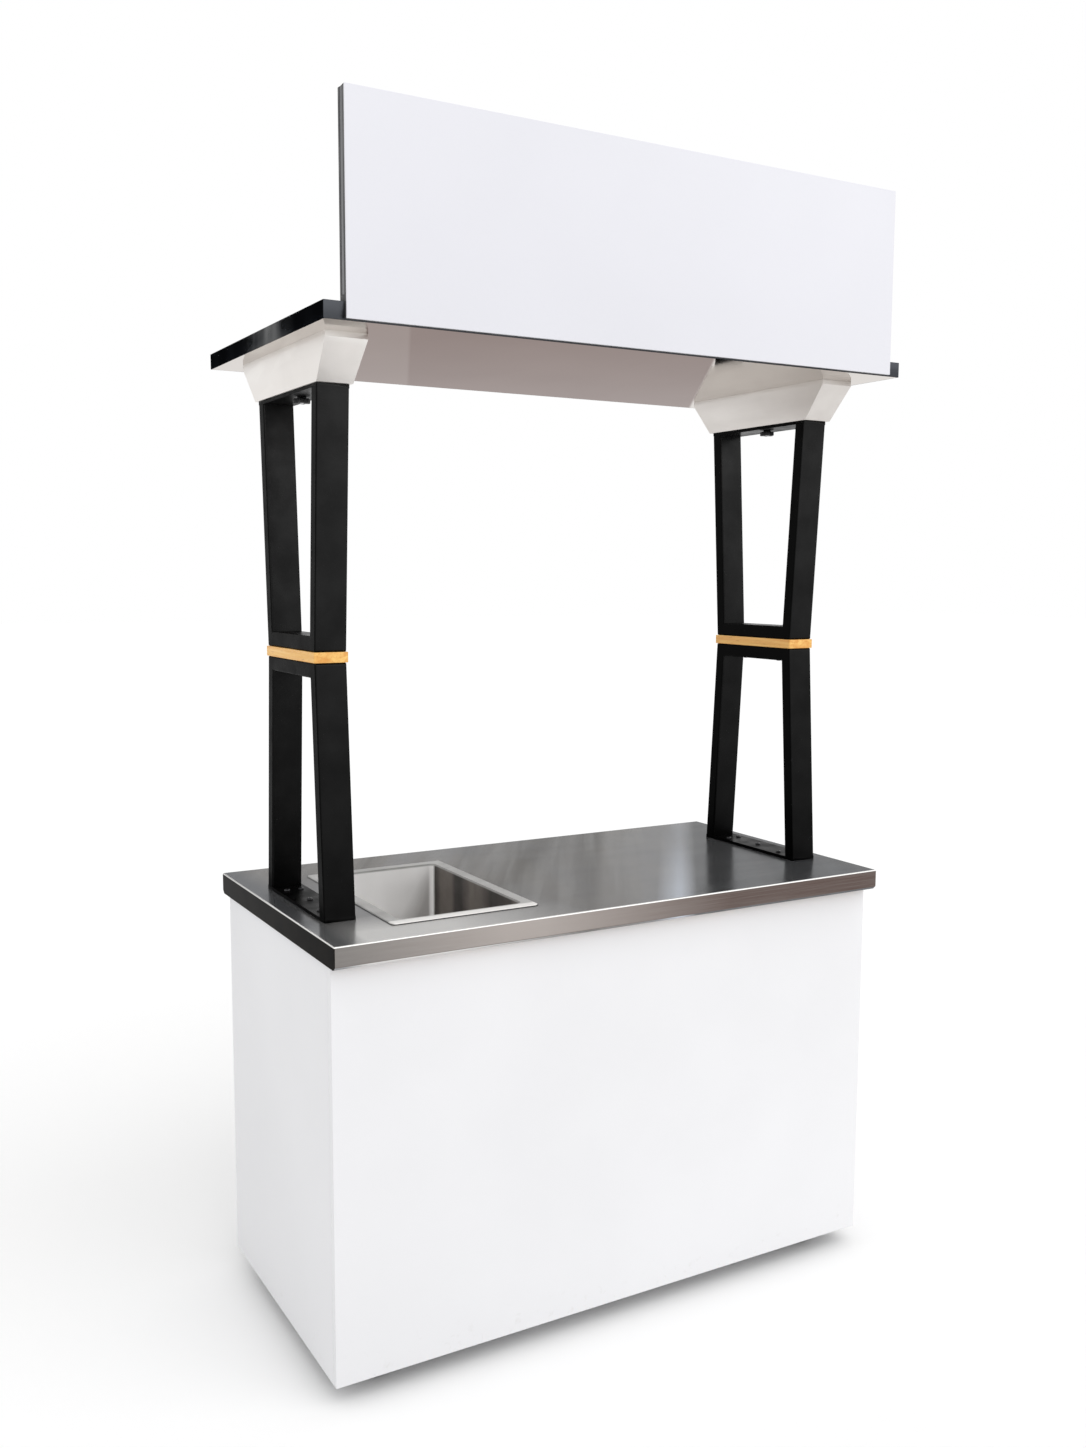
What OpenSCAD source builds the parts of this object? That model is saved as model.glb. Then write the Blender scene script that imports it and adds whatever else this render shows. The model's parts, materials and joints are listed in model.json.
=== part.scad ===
// Mobile bar unit: a cabinet on casters with a folded steel worktop and a drop-in sink,
// two pairs of tube frames that carry a canopy, and a header sign on the canopy's front edge.
// Millimetres, Z up. The customer side faces -Y. The origin is on the floor, under the middle
// of the unit's outline.

/* [Worktop] */
// Width of the worktop from end to end
top_w = 1300; // [1240:10:1500]
// Depth of the worktop from front to rear
top_d = 680; // [660:5:740]
// Height of the worktop above the floor
top_h = 900; // [880:5:950]
// Height of the upright part of the worktop's apron
apron_h = 38; // [34:1:44]
// Drop of the return fold below the apron at the front and rear
fold = 7; // [5:0.5:9]
// Thickness of the worktop's steel sheet
sheet_t = 1.5; // [1.2:0.1:2]
// Outer radius of the bend along the worktop's upper edges
bend_r = 3; // [2.5:0.1:4]
// Overhang of the worktop beyond the cabinet's front and rear
overhang = 32; // [26:1:36]
// Overhang of the worktop beyond the cabinet's ends
end_overhang = 5; // [4:0.5:6]

/* [Sink] */
// Width of the sink's rim from left to right
sink_w = 320; // [300:5:340]
// Depth of the sink's rim from front to rear
sink_d = 470; // [440:5:480]
// Distance from the worktop's left end to the sink's rim
sink_in = 150; // [140:1:160]
// Distance of the sink's middle in front of the worktop's middle
sink_fwd = 20; // [10:1:30]
// Width of the sink's flange rim
rim_w = 24; // [20:1:28]
// Height of the rim above the worktop
rim_h = 3; // [2:0.5:4]
// Radius of the rim's outer corners
rim_r = 10; // [6:0.5:14]
// Width of the bevel round the rim's upper edge
rim_bevel = 1.5; // [1:0.1:1.8]
// Depth of the bowl below the worktop
bowl_h = 200; // [160:5:220]
// Thickness of the bowl's sheet
bowl_t = 1.2; // [1:0.1:1.5]
// Radius of the bowl's inside corners
bowl_r = 15; // [12:1:20]
// Radius of the drain's throat on the outside
throat_r = 27; // [24:0.5:30]
// Height of the drain's throat below the bowl
throat_h = 55; // [45:1:65]
// Wall of the drain's throat, pipe and flange
drain_t = 2.5; // [2:0.1:3]
// Width of the drain's flange round its throat
flange_w = 14; // [12:0.5:16]
// Height of the drain's nut
drain_nut_h = 12; // [10:0.5:14]
// Depth of the strainer's cup
strainer_h = 12; // [10:0.5:16]
// Thickness of the strainer's sheet
strainer_t = 1.2; // [1:0.1:1.5]
// Radius of the holes in the strainer
strainer_hole_r = 1.8; // [1.5:0.1:2]

/* [Waste tank] */
// Width of the waste tank
tank_w = 300; // [260:5:320]
// Depth of the waste tank
tank_d = 250; // [220:5:280]
// Wall of the waste tank
tank_t = 3; // [2.5:0.5:4]
// Radius of the waste tank's upright corners
tank_r = 25; // [15:1:30]
// Height of the waste tank's neck
neck_h = 22; // [16:1:26]
// Wall of the waste tank's neck round the drain pipe
neck_wall = 7; // [5:0.5:10]
// Length of drain pipe between the drain's throat and the waste tank's neck
pipe_run = 130; // [100:5:170]
// Length of drain pipe inside the waste tank
pipe_dip = 40; // [30:1:60]
// Length of drain pipe inside the drain's throat
pipe_grip = 25; // [20:1:30]

/* [Cabinet] */
// Thickness of the cabinet's panels
panel_t = 18; // [16:1:20]
// Gap between the floor and the lower edge of the front and side panels
skirt_gap = 40; // [34:1:50]
// Gap round the rear doors
door_gap = 2; // [1.5:0.1:2.5]
// Height of the rail above the rear doors
rail_h = 40; // [32:1:50]
// Height of the shelf as a share of the storage bay
shelf_share = 0.5; // [0.4:0.05:0.6]
// Side of the shelf's cleats
cleat = 20; // [16:1:26]
// Set-back of the shelf from the doors
shelf_back = 20; // [10:1:40]

/* [Chassis] */
// Width of the chassis tube
base_w = 40; // [36:1:44]
// Height of the chassis tube
base_h = 30; // [26:1:36]
// Wall of the chassis tube
base_wall = 2; // [1.5:0.1:2.5]
// Thickness of the pads that take the casters
pad_t = 5; // [4:0.5:6]
// Side of the pads that take the casters
pad_w = 150; // [145:1:160]

/* [Casters] */
// Height of a caster from the floor to the top of its plate
caster_h = 100; // [98:1:106]
// Diameter of the wheel
wheel_d = 75; // [70:0.5:76]
// Width of the tyre
tyre_w = 25; // [22:0.5:26]
// Thickness of the tyre's tread
tread = 10; // [8:0.5:12]
// Radius of the tyre's shoulders
shoulder = 4; // [3:0.5:5]
// Thickness of the hub's rim
hub_rim = 5; // [4:0.5:6]
// Thickness of the hub's web
hub_web = 9; // [7:0.5:11]
// Radius of the hub's boss and of the fork's eyes round the axle
boss_r = 10; // [9:0.5:11]
// Distance that the hub's boss stands out beyond the tyre on each side
hub_over = 2; // [1.5:0.1:2.5]
// Distance from the swivel axis to the wheel's axle
trail = 28; // [26:0.5:30]
// Distance from the cabinet's ends and rear, inside, to the casters' swivel axes
caster_in = 88; // [86:1:92]
// Distance from the front panel's inside face to the front casters' swivel axes
front_in = 80; // [79:0.5:84]
// Length of the caster plate across the unit
plate_w = 92; // [90:1:96]
// Width of the caster plate along the unit
plate_d = 72; // [70:1:76]
// Thickness of the caster plate, fork crown and fork legs
plate_t = 3; // [2.5:0.1:3.2]
// Height of the swivel race between plate and fork
race_h = 10; // [9:0.5:11]
// Radius of the fork's crown
crown_r = 28; // [27:0.5:30]
// Half the length of a fork leg's upper end
leg_half = 18; // [16:0.5:19]
// Height of the race cup round the crown
cup_h = 7; // [6:0.5:8]
// Wall of the race cup and of the race in it
cup_wall = 4; // [3:0.5:4.5]
// Gap between the race and its cup
cup_gap = 3; // [2:0.5:4]
// Radius of the kingpin
king_r = 6; // [5:0.5:7]
// Width of the kingpin's head round the pin
king_head = 3.5; // [3:0.1:4]
// Radius of the wheel's axle
axle_r = 4; // [3.5:0.1:4.5]
// Radius over the corners of the axle's heads
axle_head_r = 7.6; // [7:0.1:8.4]
// Height of the axle's heads
axle_head_h = 3.5; // [3:0.1:4]
// Radius of the bolts that hold the caster plates
caster_bolt_r = 4; // [3:0.1:4]
// Angle of the brake pedal's pivot above the wheel's axle in degrees
pivot_deg = 50; // [46:1:54]
// Radius of the brake pedal's pivot pin
pivot_r = 3; // [2.5:0.1:3.5]
// Distance between the tyre and the pivot pin
pivot_room = 4; // [3.5:0.1:5]
// Wall of the pedal and of the fork's ears round the pivot pin
ear_wall = 2.6; // [2.2:0.1:3]
// Width of the brake pedal
pedal_w = 24; // [20:0.5:26]
// Reach of the brake pedal from the swivel axis
pedal_reach = 78; // [76:0.5:80]
// Height of the brake pedal's foot plate at its outer end
pedal_t = 5; // [4:0.5:6]
// Distance of the brake shoe's lower end below the pivot
shoe_drop = 17; // [15:0.5:18]
// Gap between the tyre and the released brake shoe
shoe_gap = 4.5; // [4:0.1:5.5]
// Thickness of the brake shoe
shoe_t = 5; // [4:0.5:6]

/* [Doors] */
// Height of a hinge leaf
leaf_h = 80; // [70:1:100]
// Width of a hinge leaf from the pin
leaf_w = 15; // [13:0.5:16]
// Thickness of a hinge leaf
leaf_t = 2; // [1.5:0.1:2.2]
// Radius of the hinge barrel
barrel_r = 4.5; // [4.2:0.1:5]
// Radius of the hinge pin
pin_r = 2.5; // [2:0.1:2.6]
// Distance from a door's ends to its hinges
hinge_in = 90; // [60:5:150]
// Radius of the door knob's head
knob_r = 14; // [11:0.5:16]
// Height of the door knob
knob_h = 24; // [22:0.5:28]
// Height of the door knob's head
knob_head = 11; // [9:0.5:12]
// Radius of the door knob's neck
knob_neck_r = 6; // [5:0.5:7]
// Radius of the door knob's base
knob_base_r = 10; // [8:0.5:11]
// Height of the door knob's base, of its flare and of the bevel round its head
knob_bevel = 3; // [2:0.5:3.5]
// Distance from a door's free edge to its knob
knob_in = 45; // [30:1:80]

/* [Uprights] */
// Distance from the worktop's ends to the middle of the uprights
upright_in = 75; // [70:1:80]
// Distance of the uprights in front of the worktop's middle
upright_fwd = 12; // [4:1:18]
// Height of each tube frame
frame_h = 494; // [440:1:540]
// Half the depth of a frame at its wide end
wide_half = 168; // [155:1:180]
// Half the depth of a frame at its narrow end
waist_half = 137; // [125:1:145]
// Width of the frame tube across the unit
tube_w = 64; // [60:1:68]
// Thickness of the frame tube in the frame's plane
tube_t = 30; // [27:1:33]
// Wall of the frame tube
tube_wall = 2; // [1.5:0.1:3]
// Radius of the frame tube's edges
tube_r = 4; // [3.2:0.1:5]
// Thickness of the plate at a frame's wide end
foot_t = 7; // [5:0.5:10]
// Overhang of that plate beyond the tubes
foot_over = 0.5; // [0.5:0.5:2]
// Thickness of the wooden spacer between two frames
wood_t = 20; // [16:1:26]
// Overhang of the wooden spacer beyond the tubes
wood_over = 2.5; // [1:0.5:4]
// Radius of the foot, spacer and canopy bolts
bolt_r = 3; // [3:0.1:4]
// Distance from the foot's middle to its outer rows of bolts
foot_row = 95; // [85:1:105]
// Distance from the foot's middle line to its outer bolts
foot_col = 15; // [13:0.5:17]
// Distance from the spacer's middle to its bolts
spacer_row = 62; // [50:1:70]

/* [Capitals] */
// Height of the capitals
cap_h = 81; // [70:1:100]
// Thickness of the capital's sheet
cap_t = 2.5; // [2:0.1:3]
// Overhang of a capital's foot beyond the frame's wide end
cap_over = 8; // [5:0.5:10]
// Flare of a capital to the front and to the rear
cap_flare = 61; // [50:1:75]
// Width of a capital's foot beyond the frame tube on each side
cap_side = 4; // [3:0.5:6]
// Flare of a capital to the left and to the right
cap_side_flare = 5; // [3:0.5:8]
// Height of the upright lip at a capital's top
cap_lip = 10; // [6:0.5:14]
// Distance from a capital's middle to its canopy bolts
cap_row = 170; // [150:1:180]
// Radius of the clamp stud
stud_r = 5; // [4:0.5:6]
// Radius of the clamp knob over its lobes
grip_r = 17; // [15:0.5:19]
// Radius of the clamp knob's lobes
lobe_r = 5; // [4.5:0.5:6]
// Height of the clamp knob's grip
grip_h = 9; // [8:0.5:12]
// Height of the clamp knob's collar above the grip
collar_h = 2.5; // [2:0.5:4]
// Radius of the clamp knob's collar
collar_r = 9; // [8:0.5:10]
// Height of the threaded boss in a capital
boss_h = 14; // [10:0.5:18]
// Wall of the threaded boss in a capital
boss_wall = 6; // [4:0.5:8]

/* [Canopy] */
// Overhang of the canopy beyond the worktop's ends
canopy_over = 7.5; // [4:0.5:15]
// Depth of the worktop less the canopy's depth
canopy_short = 12; // [6:1:20]
// Distance of the canopy's middle in front of the worktop's middle
canopy_fwd = 18; // [10:1:24]
// Thickness of the canopy over all
canopy_t = 31; // [26:1:36]
// Thickness of the soffit sheet
soffit_t = 1.2; // [1:0.1:1.6]
// Thickness of the edge trims
trim_t = 2; // [1.5:0.1:3]

/* [Sign] */
// Height of the sign
sign_h = 379.5; // [340:0.5:420]
// Distance from the canopy's ends to the sign
sign_in = 37.5; // [30:0.5:60]
// Distance from the canopy's underside up to the sign's lower edge
sign_lift = 1.5; // [1:0.5:4]
// Thickness of the sign's face
face_t = 4; // [3:0.5:5]
// Depth of the sign's frame
sign_d = 26; // [24:0.5:32]
// Depth of the part of the sign's frame that hangs before the canopy
hang_d = 8; // [6:0.5:10]
// Width of the sign frame's stiles and top rail
stile = 30; // [24:1:40]
// Height of the sign frame's lower rail above the canopy
sill = 56; // [52:1:70]
// Depth of the groove round the sign's frame
groove = 1.5; // [1:0.1:2]
// Width of the groove round the sign's frame
groove_w = 11; // [9:0.5:13]
// Thickness of the sign's back sheet and brackets
back_t = 2.5; // [2:0.1:3]
// Width of the back sheet's seat on the frame
back_seat = 10; // [8:0.5:12]
// Width of a sign bracket
bracket_w = 45; // [35:1:60]
// Length of a sign bracket's arms
bracket_l = 40; // [32:1:42]

/* [Fits] */
// Gap between pieces that move past each other
air = 0.3; // [0.2:0.05:0.5]
// Gap round a pin in its bore
run_gap = 0.05; // [0.03:0.01:0.08]
// Gap round a bolt in its clearance hole
bolt_gap = 0.4; // [0.3:0.05:0.6]
// Thickness of the glue between the worktop's core and its sheet
glue_t = 0.2; // [0.1:0.05:0.4]
// Gap between the mitred ends of two edge trims
mitre_gap = 0.2; // [0.1:0.05:0.4]
// Gap between a board and what it is let into
board_gap = 0.5; // [0.4:0.05:0.8]

/* [Hidden] */
$fn = 64;
// Overrun of every cut
over = 1;

// Outline in depth, and the worktop's middle in it
canopy_d = top_d - canopy_short;
canopy_front = -canopy_fwd - canopy_d / 2;
face_front = canopy_front - board_gap - hang_d - face_t;
mid_y = (-face_front - top_d / 2) / 2;

// Heights
core_top = top_h - sheet_t - glue_t;
panel_top = top_h - apron_h + board_gap;
pad_top = caster_h + pad_t;
base_top = pad_top + base_h;
bay_z = base_top + panel_t;
shelf_z = bay_z + (panel_top - bay_z) * shelf_share;
waist_z = top_h + frame_h;
upper_z = waist_z + wood_t + frame_h;
canopy_z = upper_z + cap_h;
canopy_top = canopy_z + canopy_t;

// Cabinet plan
cab_x = top_w / 2 - end_overhang;
cab_y = top_d / 2 - overhang;
in_x = cab_x - panel_t;
in_y = cab_y - panel_t;
bay_y = in_y - door_gap;
door_z = [base_top + door_gap, panel_top - rail_h - door_gap];

// Sink plan
sink_x = -top_w / 2 + sink_in + sink_w / 2;
bowl_w = sink_w - 2 * rim_w;
bowl_d = sink_d - 2 * rim_w;
bowl_z = top_h - bowl_h;
throat_in = throat_r - drain_t;
pipe_r = throat_in - air;
neck_r = pipe_r + air;
tank_h = bowl_z - throat_h - pipe_run - neck_h - bay_z;
tank_top = bay_z + tank_h;
ring_share = 0.36;

// Casters
caster_x = in_x - caster_in;
caster_ys = [front_in - in_y, in_y - caster_in];
wheel_r = wheel_d / 2;
hub_r = wheel_r - tread;
hub_w = tyre_w + 2 * hub_over;
leg_y = hub_w / 2 + board_gap;
crown_z = caster_h - plate_t - race_h - plate_t;
race_r = crown_r - cup_wall - cup_gap;
pivot_d = wheel_r + pivot_room + pivot_r;
pivot_x = trail + pivot_d * cos(pivot_deg);
pivot_z = wheel_r + pivot_d * sin(pivot_deg);
caster_row = [plate_w / 2 - 2 * caster_bolt_r, plate_d / 2 - 2 * caster_bolt_r];

// Doors
hinge_x = in_x - door_gap / 2;
hinge_y = cab_y + barrel_r + air;
hinge_zs = [door_z[0] + hinge_in, door_z[1] - hinge_in - leaf_h];
knuckle_shares = [0, 1 / 3, 2 / 3, 1];

// Uprights
upright_x = top_w / 2 - upright_in;
slope = atan((wide_half - waist_half) / frame_h);
leg_run = tube_t / cos(slope);
corner_out = [-waist_half, frame_h];
corner_in = [leg_run - half_at(frame_h - tube_t), frame_h - tube_t];
mitre_share = 0.5;
mitre = (corner_out - corner_in) * mitre_share;
mitre_out = corner_out + mitre;
mitre_in = corner_in - mitre;
foot_spots = [[0, 0], [-foot_col, -foot_row], [foot_col, -foot_row], [-foot_col, foot_row],
    [foot_col, foot_row]];
head_h_share = 1.1;
head_r_share = 2;
nut_h_share = 1.6;
nut_h = bolt_r * nut_h_share;

// Capitals
cap_half = wide_half + cap_over;
cap_side_half = tube_w / 2 + cap_side;

// Sign
canopy_w = top_w + 2 * canopy_over;
sign_w = canopy_w - 2 * sign_in;
sign_z = canopy_z + sign_lift;
sign_top = sign_z + sign_h;
frame_front = face_front + face_t;
frame_rear = frame_front + sign_d;
sill_z = canopy_top + sill;
bracket_x = sign_w / 3;

// Colours
white_c = [0.93, 0.93, 0.94];
steel_c = [0.62, 0.62, 0.62];
black_c = [0.07, 0.07, 0.08];
wood_c = [0.87, 0.68, 0.42];
zinc_c = [0.7, 0.71, 0.72];
rubber_c = [0.16, 0.16, 0.17];

// Half the depth of a frame at a height above its wide end
function half_at(z) = wide_half + (waist_half - wide_half) * z / frame_h;

// Depth of the front or rear swivel axes
function caster_y(sy) = sy < 0 ? caster_ys[0] : caster_ys[1];

// Moves the worktop's middle to its place in the unit's outline
module placed() {
    translate([0, mid_y, 0])
        children();
}

// Box between pairs of coordinates
module block(x, y, z) {
    translate([x[0], y[0], z[0]])
        cube([x[1] - x[0], y[1] - y[0], z[1] - z[0]]);
}

// Rectangle with round corners
module rounded(w, d, r) {
    square([w - 2 * r, d], center = true);
    square([w, d - 2 * r], center = true);
    for (sx = [-1, 1], sy = [-1, 1])
        translate([sx * (w / 2 - r), sy * (d / 2 - r)])
            circle(r);
}

// Bar along X of a profile drawn in Y and Z
module bar_x(l) {
    rotate([90, 0, 90])
        linear_extrude(height = l, center = true)
            children();
}

// Bar along Y of a profile drawn in X and Z
module bar_y(l) {
    rotate([90, 0, 0])
        linear_extrude(height = l, center = true)
            children();
}

// Upright hole from one height to another
module hole(z, r) {
    translate([0, 0, z[0] - over])
        cylinder(h = z[1] - z[0] + 2 * over, r = r);
}

// Button-head bolt whose head stands on height 0 and whose shank hangs down
module bolt(l, r) {
    head_h = r * head_h_share;
    cylinder(h = head_h, r = r * head_r_share);
    translate([0, 0, -l])
        cylinder(h = l + head_h / 2, r = r);
}

// Hexagon nut on height 0
module nut(r) {
    difference() {
        cylinder(h = r * nut_h_share, r = r * head_r_share, $fn = 6);
        hole([0, r * nut_h_share], r + run_gap);
    }
}

// Chassis, cabinet and shelf

// Ring of chassis tube drawn as a solid bar, less an inset all round
module base_ring(inset) {
    z = [pad_top + inset, base_top - inset];
    difference() {
        block([inset - in_x, in_x - inset], [inset - bay_y, bay_y - inset], z);
        block([base_w - inset - in_x, in_x - base_w + inset],
            [base_w - inset - bay_y, bay_y - base_w + inset], z + [-over, over]);
    }
}

module chassis_frame() color(black_c) placed() {
    difference() {
        union() {
            base_ring(0);
            for (sx = [-1, 1], sy = [-1, 1])
                translate([sx * (in_x - pad_w / 2), sy * (bay_y - pad_w / 2), caster_h])
                    linear_extrude(height = pad_t)
                        square(pad_w, center = true);
        }
        base_ring(base_wall);
        caster_bolt_spots()
            hole([caster_h, pad_top], caster_bolt_r + bolt_gap);
    }
}

module cabinet_floor() color(white_c) placed() {
    block([-in_x, in_x], [-in_y, bay_y], [base_top, bay_z]);
}

module front_panel() color(white_c) placed() {
    block([-cab_x, cab_x], [-cab_y, -in_y], [skirt_gap, panel_top]);
}

module side_panel() {
    block([in_x, cab_x], [-in_y, cab_y], [skirt_gap, panel_top]);
}

module left_side_panel() color(white_c) placed() {
    mirror([1, 0, 0])
        side_panel();
}

module right_side_panel() color(white_c) placed() {
    side_panel();
}

module centre_divider() color(white_c) placed() {
    block([-panel_t / 2, panel_t / 2], [-in_y, bay_y], [bay_z, panel_top]);
}

module rear_rail() color(white_c) placed() {
    block([-in_x, in_x], [in_y, cab_y], [panel_top - rail_h, panel_top]);
}

module storage_shelf() color(white_c) placed() {
    block([panel_t / 2 + board_gap, in_x - board_gap], [-in_y + board_gap, bay_y - shelf_back],
        [shelf_z, shelf_z + panel_t]);
}

module shelf_cleats() color(white_c) placed() {
    for (x = [panel_t / 2, in_x - cleat])
        block([x, x + cleat], [-in_y, bay_y - shelf_back - cleat], [shelf_z - cleat, shelf_z]);
}

// Worktop and sink

// Tray outline with round upper edges, straight ends and lower edges folded in at the front and
// rear: w and d are its size, drop the height of the upright part, slant the height of the fold
// and r the radius of the bends
module tray(w, d, z, drop, slant, r) {
    intersection() {
        bar_x(w + 2 * over)
            fold_profile(d, z, drop, slant, r);
        bar_y(d + 2 * over)
            end_profile(w, z, drop + slant, r);
    }
}

module fold_profile(l, z, drop, slant, r) {
    end_profile(l, z, drop, r);
    polygon([[-l / 2, z - r], [-l / 2, z - drop], [slant - l / 2, z - drop - slant],
        [l / 2 - slant, z - drop - slant], [l / 2, z - drop], [l / 2, z - r]]);
}

module end_profile(l, z, drop, r) {
    translate([-l / 2, z - drop])
        square([l, drop - r]);
    translate([r - l / 2, z - drop])
        square([l - 2 * r, drop]);
    for (s = [-1, 1])
        translate([s * (l / 2 - r), z - r])
            circle(r);
}

// Board between two heights with its upper edges bevelled
module bevelled(w, d, z, bevel) {
    intersection() {
        bar_x(w + 2 * over)
            bevel_profile(d, z, bevel);
        bar_y(d + 2 * over)
            bevel_profile(w, z, bevel);
    }
}

module bevel_profile(l, z, bevel) {
    polygon([[-l / 2, z[0]], [l / 2, z[0]], [l / 2, z[1] - bevel], [l / 2 - bevel, z[1]],
        [bevel - l / 2, z[1]], [-l / 2, z[1] - bevel]]);
}

module sink_cut(z) {
    translate([sink_x, -sink_fwd, z[0] - over])
        linear_extrude(height = z[1] - z[0] + 2 * over)
            rounded(bowl_w + 2 * (bowl_t + board_gap), bowl_d + 2 * (bowl_t + board_gap),
                bowl_r + bowl_t + board_gap);
}

module foot_holes(z) {
    for (s = [-1, 1], p = foot_spots)
        translate([s * upright_x + p[0], p[1] - upright_fwd, 0])
            hole(z, bolt_r + bolt_gap);
}

module worktop_core() color(wood_c) placed() {
    difference() {
        bevelled(top_w - 2 * (sheet_t + board_gap), top_d - 2 * (sheet_t + board_gap),
            [panel_top, core_top], bend_r);
        sink_cut([panel_top, top_h]);
        foot_holes([panel_top, top_h]);
    }
}

module worktop_sheet() color(steel_c) placed() {
    bend = sheet_t * (sqrt(2) - 1);
    difference() {
        tray(top_w, top_d, top_h, apron_h, fold, bend_r);
        tray(top_w - 2 * sheet_t, top_d - 2 * sheet_t, top_h - sheet_t,
            apron_h - sheet_t - bend, fold + bend + over, bend_r - sheet_t);
        sink_cut([top_h - sheet_t, top_h]);
        foot_holes([top_h - sheet_t, top_h]);
    }
}

// Bowl with round upright corners and round lower edges; grow is added all round
module bowl_form(grow, z) {
    w = bowl_w + 2 * grow;
    d = bowl_d + 2 * grow;
    r = bowl_r + grow;
    h = z - bowl_z + grow;
    intersection() {
        translate([0, 0, bowl_z - grow])
            linear_extrude(height = h)
                rounded(w, d, r);
        bar_x(w + 2 * over)
            bowl_profile(d, h, r, bowl_z - grow);
        bar_y(d + 2 * over)
            bowl_profile(w, h, r, bowl_z - grow);
    }
}

module bowl_profile(l, h, r, z) {
    translate([-l / 2 + r, z])
        square([l - 2 * r, h + over]);
    translate([-l / 2, z + r])
        square([l, h + over - r]);
    for (s = [-1, 1])
        translate([s * (l / 2 - r), z + r])
            circle(r);
}

module sink_bowl() color(steel_c) placed() {
    translate([sink_x, -sink_fwd, 0])
        difference() {
            union() {
                bowl_form(bowl_t, top_h + rim_h);
                intersection() {
                    translate([0, 0, top_h])
                        linear_extrude(height = rim_h)
                            rounded(sink_w, sink_d, rim_r);
                    bevelled(sink_w, sink_d, [top_h - over, top_h + rim_h], rim_bevel);
                }
            }
            bowl_form(0, top_h + rim_h + over);
            hole([bowl_z - bowl_t, bowl_z], throat_r + bolt_gap);
        }
}

// Drain flange in the bowl, its throat through the bowl and the nut below
module sink_drain() color(steel_c) placed() {
    translate([sink_x, -sink_fwd, 0]) {
        difference() {
            union() {
                translate([0, 0, bowl_z])
                    cylinder(h = drain_t, r = throat_r + flange_w);
                translate([0, 0, bowl_z - throat_h])
                    cylinder(h = throat_h + drain_t / 2, r = throat_r);
            }
            hole([bowl_z - throat_h, bowl_z + drain_t], throat_in);
        }
        translate([0, 0, bowl_z - bowl_t - drain_nut_h])
            difference() {
                cylinder(h = drain_nut_h, r = throat_r + flange_w, $fn = 8);
                hole([0, drain_nut_h], throat_r + run_gap);
            }
    }
}

// Lift-out strainer: a rim on the drain's flange and a cup with rings of holes
module strainer() color(steel_c) placed() {
    cup_r = throat_in - 2 * air;
    translate([sink_x, -sink_fwd, bowl_z + drain_t])
        difference() {
            union() {
                cylinder(h = strainer_t, r = throat_r + flange_w / 2);
                translate([0, 0, -strainer_h])
                    cylinder(h = strainer_h, r = cup_r);
            }
            hole([-strainer_h + strainer_t + over, strainer_t], cup_r - strainer_t);
            for (ring = [1, 2], k = [1:6 * ring])
                rotate([0, 0, k * 60 / ring])
                    translate([cup_r * ring_share * ring, 0, 0])
                        hole([-strainer_h, 0], strainer_hole_r);
        }
}

module drain_pipe() color(white_c) placed() {
    z = [tank_top - pipe_dip, bowl_z - throat_h + pipe_grip];
    translate([sink_x, -sink_fwd, 0])
        difference() {
            translate([0, 0, z[0]])
                cylinder(h = z[1] - z[0], r = pipe_r);
            hole(z, pipe_r - drain_t);
        }
}

module waste_tank() color(white_c) placed() {
    translate([sink_x, -sink_fwd, bay_z])
        difference() {
            union() {
                linear_extrude(height = tank_h)
                    rounded(tank_w, tank_d, tank_r);
                cylinder(h = tank_h + neck_h, r = neck_r + neck_wall);
            }
            translate([0, 0, tank_t])
                linear_extrude(height = tank_h - 2 * tank_t)
                    rounded(tank_w - 2 * tank_t, tank_d - 2 * tank_t, tank_r - tank_t);
            hole([tank_h - 2 * tank_t, tank_h + neck_h], neck_r);
        }
}

// Uprights

// Two legs and a cross bar of tube, mitred at their corners; inset thins the tube all round
module mitred_loop(inset) {
    w = tube_w - 2 * inset;
    t = tube_t - 2 * inset;
    r = tube_r - inset;
    far = -wide_half - tube_t;
    for (turn = [0, 180])
        rotate([0, 0, turn])
            intersection() {
                translate([0, -wide_half, 0])
                    rotate([-slope, 0, 0])
                        translate([0, tube_t / 2, 0])
                            linear_extrude(height = 4 * frame_h, center = true)
                                rounded(w, t, r);
                bar_x(tube_w + 2 * over)
                    polygon([[far, foot_t], [mitre_in[0], foot_t], mitre_in, mitre_out,
                        [far, mitre_out[1]]]);
            }
    intersection() {
        translate([0, 0, frame_h - tube_t / 2])
            bar_y(2 * wide_half)
                rounded(w, t, r);
        bar_x(tube_w + 2 * over)
            polygon([mitre_in, mitre_out, [-mitre_out[0], mitre_out[1]],
                [-mitre_in[0], mitre_in[1]]]);
    }
}

// Tube frame that stands on its wide end at height 0, with its cross bar on top; the bar's bolt
// holes are drilled from outside to a depth
module tube_frame(drill) {
    difference() {
        union() {
            linear_extrude(height = foot_t)
                rounded(tube_w + 2 * foot_over, 2 * (wide_half + foot_over), tube_r);
            mitred_loop(0);
        }
        mitred_loop(tube_wall);
        for (s = [-1, 1])
            translate([0, s * spacer_row, 0])
                hole([frame_h - drill, frame_h], bolt_r + bolt_gap);
    }
}

module lower_frame() {
    translate([upright_x, -upright_fwd, top_h])
        difference() {
            tube_frame(tube_t);
            for (p = foot_spots)
                translate(p)
                    hole([0, foot_t], bolt_r + bolt_gap);
        }
}

module left_lower_frame() color(black_c) placed() {
    mirror([1, 0, 0])
        lower_frame();
}

module right_lower_frame() color(black_c) placed() {
    lower_frame();
}

module upper_frame() {
    translate([upright_x, -upright_fwd, upper_z])
        rotate([180, 0, 0])
            difference() {
                tube_frame(tube_t / 2);
                hole([0, foot_t], stud_r + bolt_gap);
            }
}

module left_upper_frame() color(black_c) placed() {
    mirror([1, 0, 0])
        upper_frame();
}

module right_upper_frame() color(black_c) placed() {
    upper_frame();
}

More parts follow.
